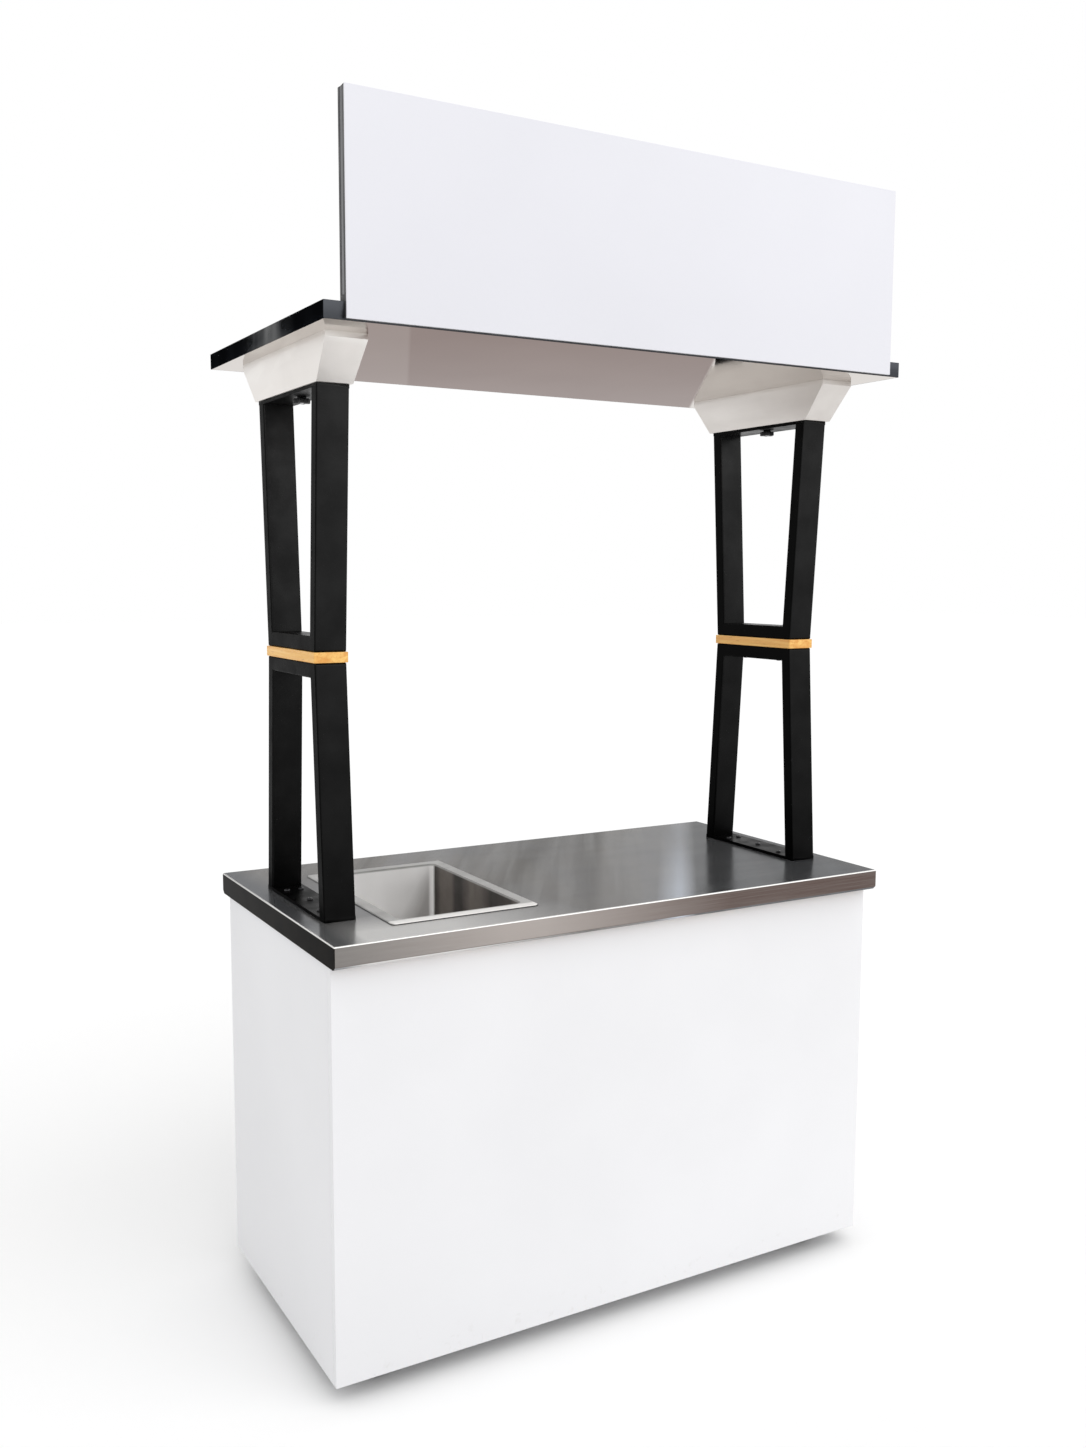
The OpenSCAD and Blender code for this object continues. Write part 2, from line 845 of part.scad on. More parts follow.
module spacer() {
    translate([upright_x, -upright_fwd, waist_z])
        difference() {
            linear_extrude(height = wood_t)
                rounded(tube_w + 2 * wood_over, 2 * (waist_half + wood_over), wood_over);
            for (s = [-1, 1])
                translate([0, s * spacer_row, 0])
                    hole([0, wood_t], bolt_r + bolt_gap);
        }
}

module left_spacer() color(wood_c) placed() {
    mirror([1, 0, 0])
        spacer();
}

module right_spacer() color(wood_c) placed() {
    spacer();
}

// Foot bolts through plate, sheet and core, each with a nut under the core
module foot_bolts() color(zinc_c) placed() {
    l = foot_t + top_h - panel_top + 2 * nut_h;
    for (s = [-1, 1], p = foot_spots)
        translate([s * upright_x + p[0], p[1] - upright_fwd, 0]) {
            translate([0, 0, top_h + foot_t])
                bolt(l, bolt_r);
            translate([0, 0, panel_top - nut_h])
                nut(bolt_r);
        }
}

// Spacer bolts up through the lower bar and the wood, each with a nut inside the upper bar
module spacer_bolts() color(zinc_c) placed() {
    l = tube_t + wood_t + tube_wall + 2 * nut_h;
    for (sx = [-1, 1], sy = [-1, 1])
        translate([sx * upright_x, sy * spacer_row - upright_fwd, 0]) {
            translate([0, 0, waist_z - tube_t])
                rotate([180, 0, 0])
                    bolt(l, bolt_r);
            translate([0, 0, waist_z + wood_t + tube_wall])
                nut(bolt_r);
        }
}

// Capitals and clamp knobs

// Flared box between two heights, with its walls set in by an inset
module flared(inset) {
    z = [inset, cap_h - inset];
    intersection() {
        bar_x(4 * cap_side_half)
            flare_profile(cap_half - inset, cap_flare, z);
        bar_y(4 * cap_half)
            flare_profile(cap_side_half - inset, cap_side_flare, z);
    }
}

module flare_profile(foot, flare, z) {
    polygon([[-foot, z[0]], [foot, z[0]], [foot + flare, cap_h - cap_lip],
        [foot + flare, z[1]], [-foot - flare, z[1]], [-foot - flare, cap_h - cap_lip]]);
}

module capital() {
    translate([upright_x, -upright_fwd, upper_z])
        difference() {
            union() {
                difference() {
                    flared(0);
                    flared(cap_t);
                }
                cylinder(h = cap_t + boss_h, r = stud_r + boss_wall);
            }
            hole([0, cap_t + boss_h], stud_r + run_gap);
            for (s = [-1, 1])
                translate([0, s * cap_row, 0])
                    hole([cap_h - cap_t, cap_h], bolt_r + bolt_gap);
        }
}

module left_capital() color(steel_c) placed() {
    mirror([1, 0, 0])
        capital();
}

module right_capital() color(steel_c) placed() {
    capital();
}

// Lobed grip below the frame's top plate, with its stud up into the capital
module clamp_knob() {
    translate([upright_x, -upright_fwd, upper_z - foot_t - air]) {
        translate([0, 0, -collar_h - grip_h]) {
            cylinder(h = grip_h, r = grip_r - lobe_r);
            for (k = [1:6])
                rotate([0, 0, k * 60])
                    translate([grip_r - lobe_r, 0, 0])
                        cylinder(h = grip_h, r = lobe_r);
            cylinder(h = grip_h + collar_h, r = collar_r);
        }
        translate([0, 0, -collar_h])
            cylinder(h = collar_h + air + foot_t + cap_t + boss_h, r = stud_r);
    }
}

module left_clamp_knob() color(black_c) placed() {
    mirror([1, 0, 0])
        clamp_knob();
}

module right_clamp_knob() color(black_c) placed() {
    clamp_knob();
}

// Canopy

module canopy_holes(z) {
    for (sx = [-1, 1], sy = [-1, 1])
        translate([sx * upright_x, sy * cap_row - upright_fwd, 0])
            hole(z, bolt_r + bolt_gap);
}

module canopy_layer(z) {
    difference() {
        block([trim_t - canopy_w / 2, canopy_w / 2 - trim_t],
            [canopy_front + trim_t, canopy_front + canopy_d - trim_t], z);
        canopy_holes(z);
    }
}

module canopy_board() color(black_c) placed() {
    canopy_layer([canopy_z + soffit_t, canopy_top]);
}

module canopy_soffit() color(steel_c) placed() {
    canopy_layer([canopy_z, canopy_z + soffit_t]);
}

// Four edge trims with mitred ends
module canopy_trims() color(black_c) placed() {
    x = canopy_w / 2;
    y = canopy_d / 2;
    translate([0, -canopy_fwd, canopy_z])
        for (turn = [0, 180])
            rotate([0, 0, turn])
                linear_extrude(height = canopy_t) {
                    trim_outline(x - mitre_gap, y);
                    rotate([0, 0, 90])
                        trim_outline(y, x);
                }
}

// Trim on the side at -y that ends at x on both sides
module trim_outline(x, y) {
    polygon([[-x, -y], [x, -y], [x - trim_t, trim_t - y], [trim_t - x, trim_t - y]]);
}

// Canopy bolts down into the capitals, each with a nut inside
module canopy_bolts() color(zinc_c) placed() {
    for (sx = [-1, 1], sy = [-1, 1])
        translate([sx * upright_x, sy * cap_row - upright_fwd, 0]) {
            translate([0, 0, canopy_top])
                bolt(canopy_t + cap_t + 2 * nut_h, bolt_r);
            translate([0, 0, canopy_z - cap_t - nut_h])
                nut(bolt_r);
        }
}

// Sign

module sign_face() color(white_c) placed() {
    block([-sign_w / 2, sign_w / 2], [face_front, frame_front], [sign_z, sign_top]);
}

// Frame that stands on the canopy and hangs before its front edge, grooved round its outside
module sign_frame() color(black_c) placed() {
    groove_y = (frame_front + frame_rear) / 2;
    hang_rear = frame_front + hang_d;
    difference() {
        bar_x(sign_w)
            polygon([[frame_front, sign_z], [hang_rear, sign_z], [hang_rear, canopy_top],
                [frame_rear, canopy_top], [frame_rear, sign_top], [frame_front, sign_top]]);
        block([stile - sign_w / 2, sign_w / 2 - stile], [frame_front - over, frame_rear + over],
            [sill_z, sign_top - stile]);
        for (s = [-1, 1])
            translate([s * sign_w / 2, groove_y, 0])
                block([-groove, groove], [-groove_w / 2, groove_w / 2],
                    [canopy_top + groove_w, sign_top + over]);
        block([-sign_w / 2 - over, sign_w / 2 + over], [groove_y - groove_w / 2,
            groove_y + groove_w / 2], [sign_top - groove, sign_top + over]);
    }
}

module sign_back() color(black_c) placed() {
    x = sign_w / 2 - stile + back_seat;
    block([-x, x], [frame_rear, frame_rear + back_t],
        [sill_z - back_seat, sign_top - stile + back_seat]);
}

module sign_brackets() color(black_c) placed() {
    for (k = [-1:1])
        translate([k * bracket_x, 0, 0])
            bar_x(bracket_w)
                polygon([[frame_rear, canopy_top], [frame_rear + bracket_l, canopy_top],
                    [frame_rear + bracket_l, canopy_top + back_t],
                    [frame_rear + back_t, canopy_top + back_t],
                    [frame_rear + back_t, canopy_top + bracket_l],
                    [frame_rear, canopy_top + bracket_l]]);
}

// Casters, drawn with the swivel axis on Z and the wheel trailing along X

module caster_spot(sx, sy) {
    translate([sx * caster_x, caster_y(sy), 0])
        rotate([0, 0, sy * 90])
            children();
}

module caster_bolt_spots() {
    for (sx = [-1, 1], sy = [-1, 1], kx = [-1, 1], ky = [-1, 1])
        translate([sx * caster_x + kx * caster_row[0], caster_y(sy) + ky * caster_row[1], 0])
            children();
}

// Plates with the upper race and the headed kingpin
module caster_plates() color(zinc_c) placed() {
    difference() {
        for (sx = [-1, 1], sy = [-1, 1])
            translate([sx * caster_x, caster_y(sy), 0]) {
                translate([0, 0, caster_h - plate_t])
                    linear_extrude(height = plate_t)
                        rounded(plate_w, plate_d, 2 * plate_t);
                difference() {
                    translate([0, 0, crown_z + plate_t + air])
                        cylinder(h = race_h - air, r = race_r);
                    hole([crown_z + plate_t, caster_h - plate_t - over], race_r - cup_wall);
                }
                translate([0, 0, crown_z - air])
                    cylinder(h = caster_h - crown_z, r = king_r);
                translate([0, 0, crown_z - air - plate_t])
                    cylinder(h = plate_t, r = king_r + king_head);
            }
        caster_bolt_spots()
            hole([caster_h - plate_t, caster_h], caster_bolt_r + bolt_gap);
    }
}

module caster_bolts() color(zinc_c) placed() {
    l = plate_t + pad_t + 2 * caster_bolt_r * nut_h_share;
    caster_bolt_spots() {
        translate([0, 0, caster_h - plate_t])
            rotate([180, 0, 0])
                bolt(l, caster_bolt_r);
        translate([0, 0, pad_top])
            nut(caster_bolt_r);
    }
}

// Side view of a fork leg; braked legs carry an ear for the pedal's pivot
module leg_outline(braked) {
    ear_r = pivot_r + ear_wall;
    z = crown_z + plate_t;
    polygon([[-leg_half, z], [leg_half, z], [trail + boss_r, wheel_r],
        [trail - boss_r, wheel_r]]);
    translate([trail, wheel_r])
        circle(boss_r);
    if (braked) {
        polygon([[0, z], [leg_half, z], [pivot_x, pivot_z + ear_r], [pivot_x, pivot_z - ear_r],
            [trail, wheel_r]]);
        translate([pivot_x, pivot_z])
            circle(ear_r);
    }
}

// Fork with crown, lower race cup and two legs, and the axle bolt through its legs
module fork(braked) {
    difference() {
        union() {
            difference() {
                translate([0, 0, crown_z])
                    cylinder(h = plate_t + cup_h, r = crown_r);
                hole([crown_z + plate_t + over, crown_z + plate_t + cup_h], crown_r - cup_wall);
            }
            for (s = [-1, 1])
                translate([0, s * (leg_y + plate_t / 2), 0])
                    bar_y(plate_t)
                        leg_outline(braked);
        }
        hole([crown_z, crown_z + plate_t], king_r + run_gap);
        translate([trail, 0, wheel_r])
            rotate([90, 0, 0])
                cylinder(h = 4 * leg_y, r = axle_r + run_gap, center = true);
        if (braked)
            translate([pivot_x, 0, pivot_z])
                rotate([90, 0, 0])
                    cylinder(h = 4 * leg_y, r = pivot_r + run_gap, center = true);
    }
    axle();
}

module axle() {
    out = leg_y + plate_t;
    translate([trail, 0, wheel_r])
        rotate([90, 0, 0]) {
            cylinder(h = 2 * out + axle_head_h, r = axle_r, center = true);
            for (z = [-out - axle_head_h, out])
                translate([0, 0, z])
                    cylinder(h = axle_head_h, r = axle_head_r, $fn = 6);
        }
}

module front_left_fork() color(zinc_c) placed() {
    caster_spot(-1, -1)
        fork(false);
}

module front_right_fork() color(zinc_c) placed() {
    caster_spot(1, -1)
        fork(false);
}

module rear_left_fork() color(zinc_c) placed() {
    caster_spot(-1, 1)
        fork(true);
}

module rear_right_fork() color(zinc_c) placed() {
    caster_spot(1, 1)
        fork(true);
}

// Wheel core with rim, web and bored boss
module hub() {
    translate([trail, 0, wheel_r])
        rotate([90, 0, 0])
            rotate_extrude()
                difference() {
                    union() {
                        translate([0, -hub_w / 2])
                            square([boss_r, hub_w]);
                        translate([0, -hub_web / 2])
                            square([hub_r - hub_rim / 2, hub_web]);
                        translate([hub_r - hub_rim, -tyre_w / 2])
                            square([hub_rim, tyre_w]);
                    }
                    translate([0, -hub_w])
                        square([axle_r + 2 * run_gap, 2 * hub_w]);
                }
}

module front_left_hub() color(white_c) placed() {
    caster_spot(-1, -1)
        hub();
}

module front_right_hub() color(white_c) placed() {
    caster_spot(1, -1)
        hub();
}

module rear_left_hub() color(white_c) placed() {
    caster_spot(-1, 1)
        hub();
}

module rear_right_hub() color(white_c) placed() {
    caster_spot(1, 1)
        hub();
}

// Tyre with round shoulders
module tyre() {
    r = shoulder;
    inner = hub_r + run_gap;
    translate([trail, 0, wheel_r])
        rotate([90, 0, 0])
            rotate_extrude() {
                translate([inner, -tyre_w / 2])
                    square([wheel_r - r - inner, tyre_w]);
                translate([inner, r - tyre_w / 2])
                    square([wheel_r - inner, tyre_w - 2 * r]);
                for (s = [-1, 1])
                    translate([wheel_r - r, s * (tyre_w / 2 - r)])
                        circle(r);
            }
}

module front_left_tyre() color(rubber_c) placed() {
    caster_spot(-1, -1)
        tyre();
}

module front_right_tyre() color(rubber_c) placed() {
    caster_spot(1, -1)
        tyre();
}

module rear_left_tyre() color(rubber_c) placed() {
    caster_spot(-1, 1)
        tyre();
}

module rear_right_tyre() color(rubber_c) placed() {
    caster_spot(1, 1)
        tyre();
}

// Brake pedal: pivot pin, foot plate that slopes out and down, and a shoe that faces the tyre
module pedal() {
    eye = pivot_r + ear_wall;
    shoe_z = pivot_z - shoe_drop;
    shoe_x = trail + sqrt(pow(wheel_r, 2) - pow(shoe_z - wheel_r, 2)) + shoe_gap;
    bar_y(pedal_w) {
        translate([pivot_x, pivot_z])
            circle(eye);
        polygon([[pivot_x, pivot_z + eye], [pedal_reach, pivot_z - eye + pedal_t],
            [pedal_reach, pivot_z - eye], [pivot_x, pivot_z - eye / 2]]);
        polygon([[pivot_x, pivot_z], [pivot_x + eye, pivot_z], [shoe_x + shoe_t, shoe_z],
            [shoe_x, shoe_z]]);
    }
    translate([pivot_x, 0, pivot_z])
        rotate([90, 0, 0])
            cylinder(h = 2 * (leg_y + plate_t), r = pivot_r, center = true);
}

module rear_left_pedal() color(black_c) placed() {
    caster_spot(-1, 1)
        pedal();
}

module rear_right_pedal() color(black_c) placed() {
    caster_spot(1, 1)
        pedal();
}

// Rear doors

module door() {
    block([door_gap / 2, in_x - door_gap], [in_y, cab_y], door_z);
}

module left_door() color(white_c) placed() {
    mirror([1, 0, 0])
        door();
}

module right_door() color(white_c) placed() {
    door();
}

// Hinge leaf along X from the pin on Z, with knuckles on every second stretch from one on
module leaf(first) {
    seat = -barrel_r - air;
    difference() {
        union() {
            block([barrel_r + air, leaf_w], [seat, seat + leaf_t], [0, leaf_h]);
            for (k = [first:2:2])
                knuckle(leaf_h * knuckle_shares[k] + air, leaf_h * knuckle_shares[k + 1] - air,
                    seat);
        }
        hole([0, leaf_h], pin_r + run_gap);
    }
}

module knuckle(z0, z1, seat) {
    block([0, leaf_w], [seat, seat + leaf_t], [z0, z1]);
    translate([0, 0, z0])
        cylinder(h = z1 - z0, r = barrel_r);
}

module hinge_spots() {
    for (z = hinge_zs)
        translate([hinge_x, hinge_y, z])
            children();
}

module door_leaves() {
    hinge_spots()
        mirror([1, 0, 0])
            leaf(1);
}

module left_door_leaves() color(zinc_c) placed() {
    mirror([1, 0, 0])
        door_leaves();
}

module right_door_leaves() color(zinc_c) placed() {
    door_leaves();
}

module hinge_frame_leaves() color(zinc_c) placed() {
    hinge_spots()
        leaf(0);
    mirror([1, 0, 0])
        hinge_spots()
            leaf(0);
}

// Pins with a small head on the upper knuckle
module hinge_pins() color(zinc_c) placed() {
    for (s = [-1, 1], z = hinge_zs)
        translate([s * hinge_x, hinge_y, z]) {
            cylinder(h = leaf_h, r = pin_r);
            translate([0, 0, leaf_h])
                cylinder(h = leaf_t, r = barrel_r);
        }
}

// Turned knob with a narrow neck and a domed head
module door_knob() {
    head_z = knob_h - knob_head;
    translate([door_gap / 2 + knob_in, cab_y, (door_z[0] + door_z[1]) / 2])
        rotate([-90, 0, 0])
            rotate_extrude()
                polygon([[0, 0], [knob_base_r, 0], [knob_base_r, knob_bevel],
                    [knob_neck_r, 2 * knob_bevel], [knob_neck_r, head_z],
                    [knob_r, head_z + knob_bevel], [knob_r, knob_h - knob_bevel],
                    [knob_r - knob_bevel, knob_h], [0, knob_h]]);
}

module left_door_knob() color(zinc_c) placed() {
    mirror([1, 0, 0])
        door_knob();
}

module right_door_knob() color(zinc_c) placed() {
    door_knob();
}

chassis_frame();
cabinet_floor();
front_panel();
left_side_panel();
right_side_panel();
centre_divider();
rear_rail();
storage_shelf();
shelf_cleats();
worktop_core();
worktop_sheet();
sink_bowl();
sink_drain();
strainer();
drain_pipe();
waste_tank();
left_lower_frame();
right_lower_frame();
left_spacer();
right_spacer();
left_upper_frame();
right_upper_frame();
left_capital();
right_capital();
foot_bolts();
spacer_bolts();
left_clamp_knob();
right_clamp_knob();
canopy_board();
canopy_soffit();
canopy_trims();
canopy_bolts();
sign_face();
sign_frame();
sign_back();
sign_brackets();
caster_plates();
caster_bolts();
front_left_fork();
front_right_fork();
rear_left_fork();
rear_right_fork();
front_left_hub();
front_right_hub();
rear_left_hub();
rear_right_hub();
front_left_tyre();
front_right_tyre();
rear_left_tyre();
rear_right_tyre();
rear_left_pedal();
rear_right_pedal();
left_door();
right_door();
left_door_leaves();
right_door_leaves();
left_door_knob();
right_door_knob();
hinge_frame_leaves();
hinge_pins();
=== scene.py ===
"""Mobile bar unit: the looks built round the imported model. Metres, in the part's own frame."""
import json
import math

import bmesh
import bpy
from mathutils import Matrix, Vector

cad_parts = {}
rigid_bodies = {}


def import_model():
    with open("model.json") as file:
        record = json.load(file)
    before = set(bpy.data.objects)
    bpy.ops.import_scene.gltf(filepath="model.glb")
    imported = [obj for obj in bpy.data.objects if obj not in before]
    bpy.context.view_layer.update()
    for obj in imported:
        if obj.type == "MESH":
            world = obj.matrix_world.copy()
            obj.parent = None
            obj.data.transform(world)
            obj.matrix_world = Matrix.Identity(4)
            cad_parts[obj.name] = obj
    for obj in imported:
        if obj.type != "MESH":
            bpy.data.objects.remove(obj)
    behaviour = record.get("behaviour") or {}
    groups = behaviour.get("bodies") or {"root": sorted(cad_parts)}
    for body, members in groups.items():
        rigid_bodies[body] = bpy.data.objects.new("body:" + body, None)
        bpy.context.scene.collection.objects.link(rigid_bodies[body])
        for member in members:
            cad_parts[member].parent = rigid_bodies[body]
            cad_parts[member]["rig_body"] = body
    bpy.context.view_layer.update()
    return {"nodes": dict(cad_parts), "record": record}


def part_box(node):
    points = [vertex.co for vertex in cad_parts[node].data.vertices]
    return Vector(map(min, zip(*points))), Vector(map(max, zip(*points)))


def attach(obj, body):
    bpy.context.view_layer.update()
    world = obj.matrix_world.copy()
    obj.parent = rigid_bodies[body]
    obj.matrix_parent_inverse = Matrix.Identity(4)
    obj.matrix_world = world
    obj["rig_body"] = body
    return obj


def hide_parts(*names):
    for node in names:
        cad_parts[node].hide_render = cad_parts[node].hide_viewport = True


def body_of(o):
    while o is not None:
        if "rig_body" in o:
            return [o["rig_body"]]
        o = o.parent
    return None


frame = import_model()
nodes = frame["nodes"]
scene = bpy.context.scene
joint_spots = {j["name"]: j.get("pos_m") for j in frame["record"]["behaviour"]["joints"]}

# Places on the part, from its nodes
MM = 0.001
TOP_LOW, TOP_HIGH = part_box("worktop_sheet")
TOP_Z = TOP_HIGH.z
MID_Y = (TOP_LOW.y + TOP_HIGH.y) / 2
PANEL_LOW, PANEL_TOP = (p.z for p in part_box("front_panel"))
REAR_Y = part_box("left_door")[1].y
SINK_LOW, SINK_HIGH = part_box("sink_bowl")
SPACER_LOW, SPACER_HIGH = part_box("right_spacer")
WAIST_LOW, WAIST_HIGH = SPACER_LOW.z, SPACER_HIGH.z
UPRIGHT_X, UPRIGHT_Y = ((SPACER_LOW + SPACER_HIGH) / 2).xy
CANOPY_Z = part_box("canopy_soffit")[0].z
CANOPY_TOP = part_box("canopy_board")[1].z
SIGN_HALF, SIGN_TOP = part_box("sign_face")[1].xz
SIGN_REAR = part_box("sign_back")[0].y
CASTER_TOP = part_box("caster_plates")[1].z
HINGES_LOW, HINGES_TOP = (p.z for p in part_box("hinge_frame_leaves"))
HINGE_X = joint_spots["right_door_swing"][0]
SWIVELS = [spot for name, spot in joint_spots.items() if name.endswith("_caster_swivel")]

# Sizes repeated from the part's source
APRON = 38 * MM
SHEET_BEND = 3 * MM
SINK_RIM = 24 * MM
SINK_CORNER = 10 * MM
TANK_CORNER = 25 * MM
TANK_NECK = 22 * MM
TUBE = 30 * MM
TUBE_WALL = 2 * MM
WAIST_HALF = 137 * MM
FOOT_PLATE = 7 * MM
FOOT_COL = 15 * MM
FOOT_ROW = 95 * MM
SPACER_ROW = 62 * MM
CAPITAL_SHEET = 2.5 * MM
CAPITAL_ROW = 170 * MM
CASTER_PLATE = 3 * MM
CASTER_PAD = 5 * MM
CASTER_COL = 38 * MM
CASTER_ROW = 28 * MM
FRAME_BOLT = 3 * MM
CASTER_BOLT = 4 * MM
HINGE_LEAF = 80 * MM
LEAF_SHEET = 2 * MM
BRACKET_SHEET = 2.5 * MM
SIGN_GROOVE = 1.5 * MM

# Both sides, stretches of a texture, and points round a circle
SIDES = (-1, 1)
EVEN = (1, 1, 1)
ALONG_X = (0.03, 1, 1)
ALONG_Y = (1, 0.03, 1)
ALONG_Z = (1, 1, 0.03)
ROUND = 48


# Colours and surfaces

def srgb(r, g, b):
    """Colour from display values of 0 to 255."""
    def linear(c):
        c /= 255
        return c / 12.92 if c <= 0.04045 else ((c + 0.055) / 1.055) ** 2.4
    return (linear(r), linear(g), linear(b), 1.0)


DEEP_BLACK = (0, 0, 0, 1)


class Surface:
    """One node material. Textures are laid out in metres on the piece itself."""

    def __init__(self, name, metallic=0.0, specular=0.5, roughness=0.5, edge=(1, 1, 1)):
        self.mat = bpy.data.materials.new(name)
        self.mat.use_nodes = True
        self.tree = self.mat.node_tree
        self.bsdf = self.tree.nodes["Principled BSDF"]
        self.bsdf.inputs["Metallic"].default_value = metallic
        self.bsdf.inputs["Specular IOR Level"].default_value = specular
        self.bsdf.inputs["Roughness"].default_value = roughness
        self.bsdf.inputs["Specular Tint"].default_value = (*edge, 1.0)
        self.coords = self.tree.nodes.new("ShaderNodeTexCoord").outputs
        self.point = self.coords["Object"]
        self.normal = None

    def put(self, socket, value):
        if isinstance(value, bpy.types.NodeSocket):
            self.tree.links.new(value, socket)
        else:
            socket.default_value = value

    def add(self, kind, **sockets):
        node = self.tree.nodes.new("ShaderNode" + kind)
        for name, value in sockets.items():
            self.put(node.inputs[name.replace("_", " ")], value)
        return node

    def noise(self, scale, stretch=EVEN, detail=3.0, distortion=0.0, turn=0.0):
        place = self.point
        if turn:
            place = self.add("Mapping", Vector=place, Rotation=(0, 0, turn)).outputs[0]
        place = self.add("Mapping", Vector=place, Scale=stretch).outputs[0]
        return self.add("TexNoise", Vector=place, Scale=scale, Detail=detail,
                        Distortion=distortion).outputs[0]

    def run(self, value, low, high, start=0.35, stop=0.65):
        """Runs from low to high while a value goes from start to stop."""
        return self.add("MapRange", Value=value, From_Min=start, From_Max=stop, To_Min=low,
                        To_Max=high).outputs[0]

    def sums(self, kind, a, b=0.0):
        node = self.tree.nodes.new("ShaderNodeMath")
        node.operation = kind
        self.put(node.inputs[0], a)
        self.put(node.inputs[1], b)
        return node.outputs[0]

    def times(self, a, b):
        return self.sums("MULTIPLY", a, b)

    def slanted(self, a, b, slope):
        """Place across slanting lines: a less a share of b."""
        return self.sums("SUBTRACT", a, self.times(b, slope))

    def mix(self, share, a, b):
        node = self.tree.nodes.new("ShaderNodeMix")
        node.data_type = "RGBA"
        self.put(node.inputs[0], share)
        self.put(node.inputs[6], a)
        self.put(node.inputs[7], b)
        return node.outputs[2]

    def axes(self):
        return self.add("SeparateXYZ", Vector=self.point).outputs

    def facing(self):
        """Direction that the surface faces, along the piece's own axes."""
        return self.add("SeparateXYZ", Vector=self.coords["Normal"]).outputs

    def colour(self, value):
        self.put(self.bsdf.inputs["Base Color"], value)

    def rough(self, value):
        self.put(self.bsdf.inputs["Roughness"], value)

    def tint(self, value):
        self.put(self.bsdf.inputs["Specular Tint"], value)

    def bump(self, height, strength, depth):
        """Bump over those before it; depth in millimetres."""
        node = self.add("Bump", Strength=strength, Distance=depth * MM, Height=height)
        if self.normal:
            self.put(node.inputs["Normal"], self.normal)
        self.normal = node.outputs[0]
        self.put(self.bsdf.inputs["Normal"], self.normal)


def finish(name, dark, light, cloud, rough, grain, metallic=0.0, specular=0.5):
    """Plain finish: two close tones in soft clouds, a roughness range and a fine grain.
    cloud is (scale, stretch); grain is (scale, stretch, strength, depth)."""
    s = Surface(name, metallic, specular)
    s.colour(s.mix(s.run(s.noise(*cloud), 0, 1), dark, light))
    s.rough(s.run(s.noise(cloud[0] * 5, cloud[1]), *rough))
    s.bump(s.noise(grain[0], grain[1]), grain[2], grain[3])
    return s.mat


def laminate():
    """White board facing with an orange-peel grain, and light scuffs along its foot."""
    s = Surface("white_laminate", specular=0.4)
    scuffed = (PANEL_LOW + 5 * MM, PANEL_LOW + 80 * MM)
    tone = s.mix(s.run(s.noise(2.2), 0, 1), srgb(238, 238, 240), srgb(242, 242, 244))
    low = s.run(s.axes()[2], 0.25, 0.0, *scuffed)
    marks = s.times(s.run(s.noise(60, EVEN, 6, 0.6), 0, 1, 0.62, 0.72), low)
    s.colour(s.mix(marks, tone, srgb(206, 204, 200)))
    s.rough(s.run(s.noise(9), 0.36, 0.48))
    s.bump(s.noise(900, detail=2), 0.05, 0.2)
    s.bump(s.noise(5, detail=1), 0.03, 1.5)
    return s.mat


# Turn of the worktop's bands of painted reflection in radians, and the slope and stretches of its one
# bright painted reflection band and of its dark painted reflection
BAND_TURN = 0.56
REFLECTION_SLOPE = 0.717
BRIGHT_REFLECTION_RISE = (0.28, 0.335)
BRIGHT_REFLECTION_FALL = (0.345, 0.385)
DARK_REFLECTION_RISE = (0.35, 0.39)


def worktop_top(s, x, y):
    """Upper face: slanting bands and streaks of painted reflection, one of them a bright painted
    reflection; a pale painted reflection before the sink; darker at both ends, with a dark painted
    reflection at the right and painted shade at the left end.
    """
    pale_x, pale_y = (-0.4, -0.12), (MID_Y - 0.27, MID_Y - 0.16)
    left_end = (-0.63, -0.58)
    front_to_rear = (-0.25, 0.15)
    # Slanting light and dark bands and streaks: painted reflections.
    bands = s.noise(7.5, (1, 0.06, 0.05), 2, 0.15, BAND_TURN)
    streaks = s.noise(26, (1, 0.05, 0.05), 3, 0.2, BAND_TURN)
    clouds = s.noise(4.5, (1, 0.6, 1), 3, 0.5)
    top = s.mix(s.run(bands, 0, 1, 0.36, 0.54), srgb(108, 105, 101), srgb(144, 141, 138))
    top = s.mix(s.run(bands, 0, 0.15, 0.56, 0.66), top, srgb(196, 203, 214))
    top = s.mix(s.run(streaks, 0, 0.5, 0.45, 0.68), top, srgb(166, 165, 163))
    top = s.mix(s.run(clouds, 0, 0.3), top, srgb(128, 132, 140))
    across = s.slanted(x, y, REFLECTION_SLOPE)
    # Dark painted reflection over the right part, beyond a slanting line.
    top = s.mix(s.run(across, 0, 0.6, *DARK_REFLECTION_RISE), top, srgb(78, 84, 91))
    # Bright painted reflection band, fading from front to rear.
    bright_reflection = s.times(s.run(across, 0, 1, *BRIGHT_REFLECTION_RISE), s.run(across, 1, 0, *BRIGHT_REFLECTION_FALL))
    bright_reflection = s.times(bright_reflection, s.run(y, 0.9, 0.35, *front_to_rear))
    top = s.mix(bright_reflection, top, srgb(208, 214, 224))
    # Pale painted reflection before the sink.
    pale = s.times(s.run(x, 1, 0, *pale_x), s.run(y, 1, 0, *pale_y))
    top = s.mix(pale, top, srgb(222, 221, 219))
    # Painted shade at the left end.
    return s.mix(s.run(x, 0.7, 0, *left_end), top, srgb(104, 108, 114))


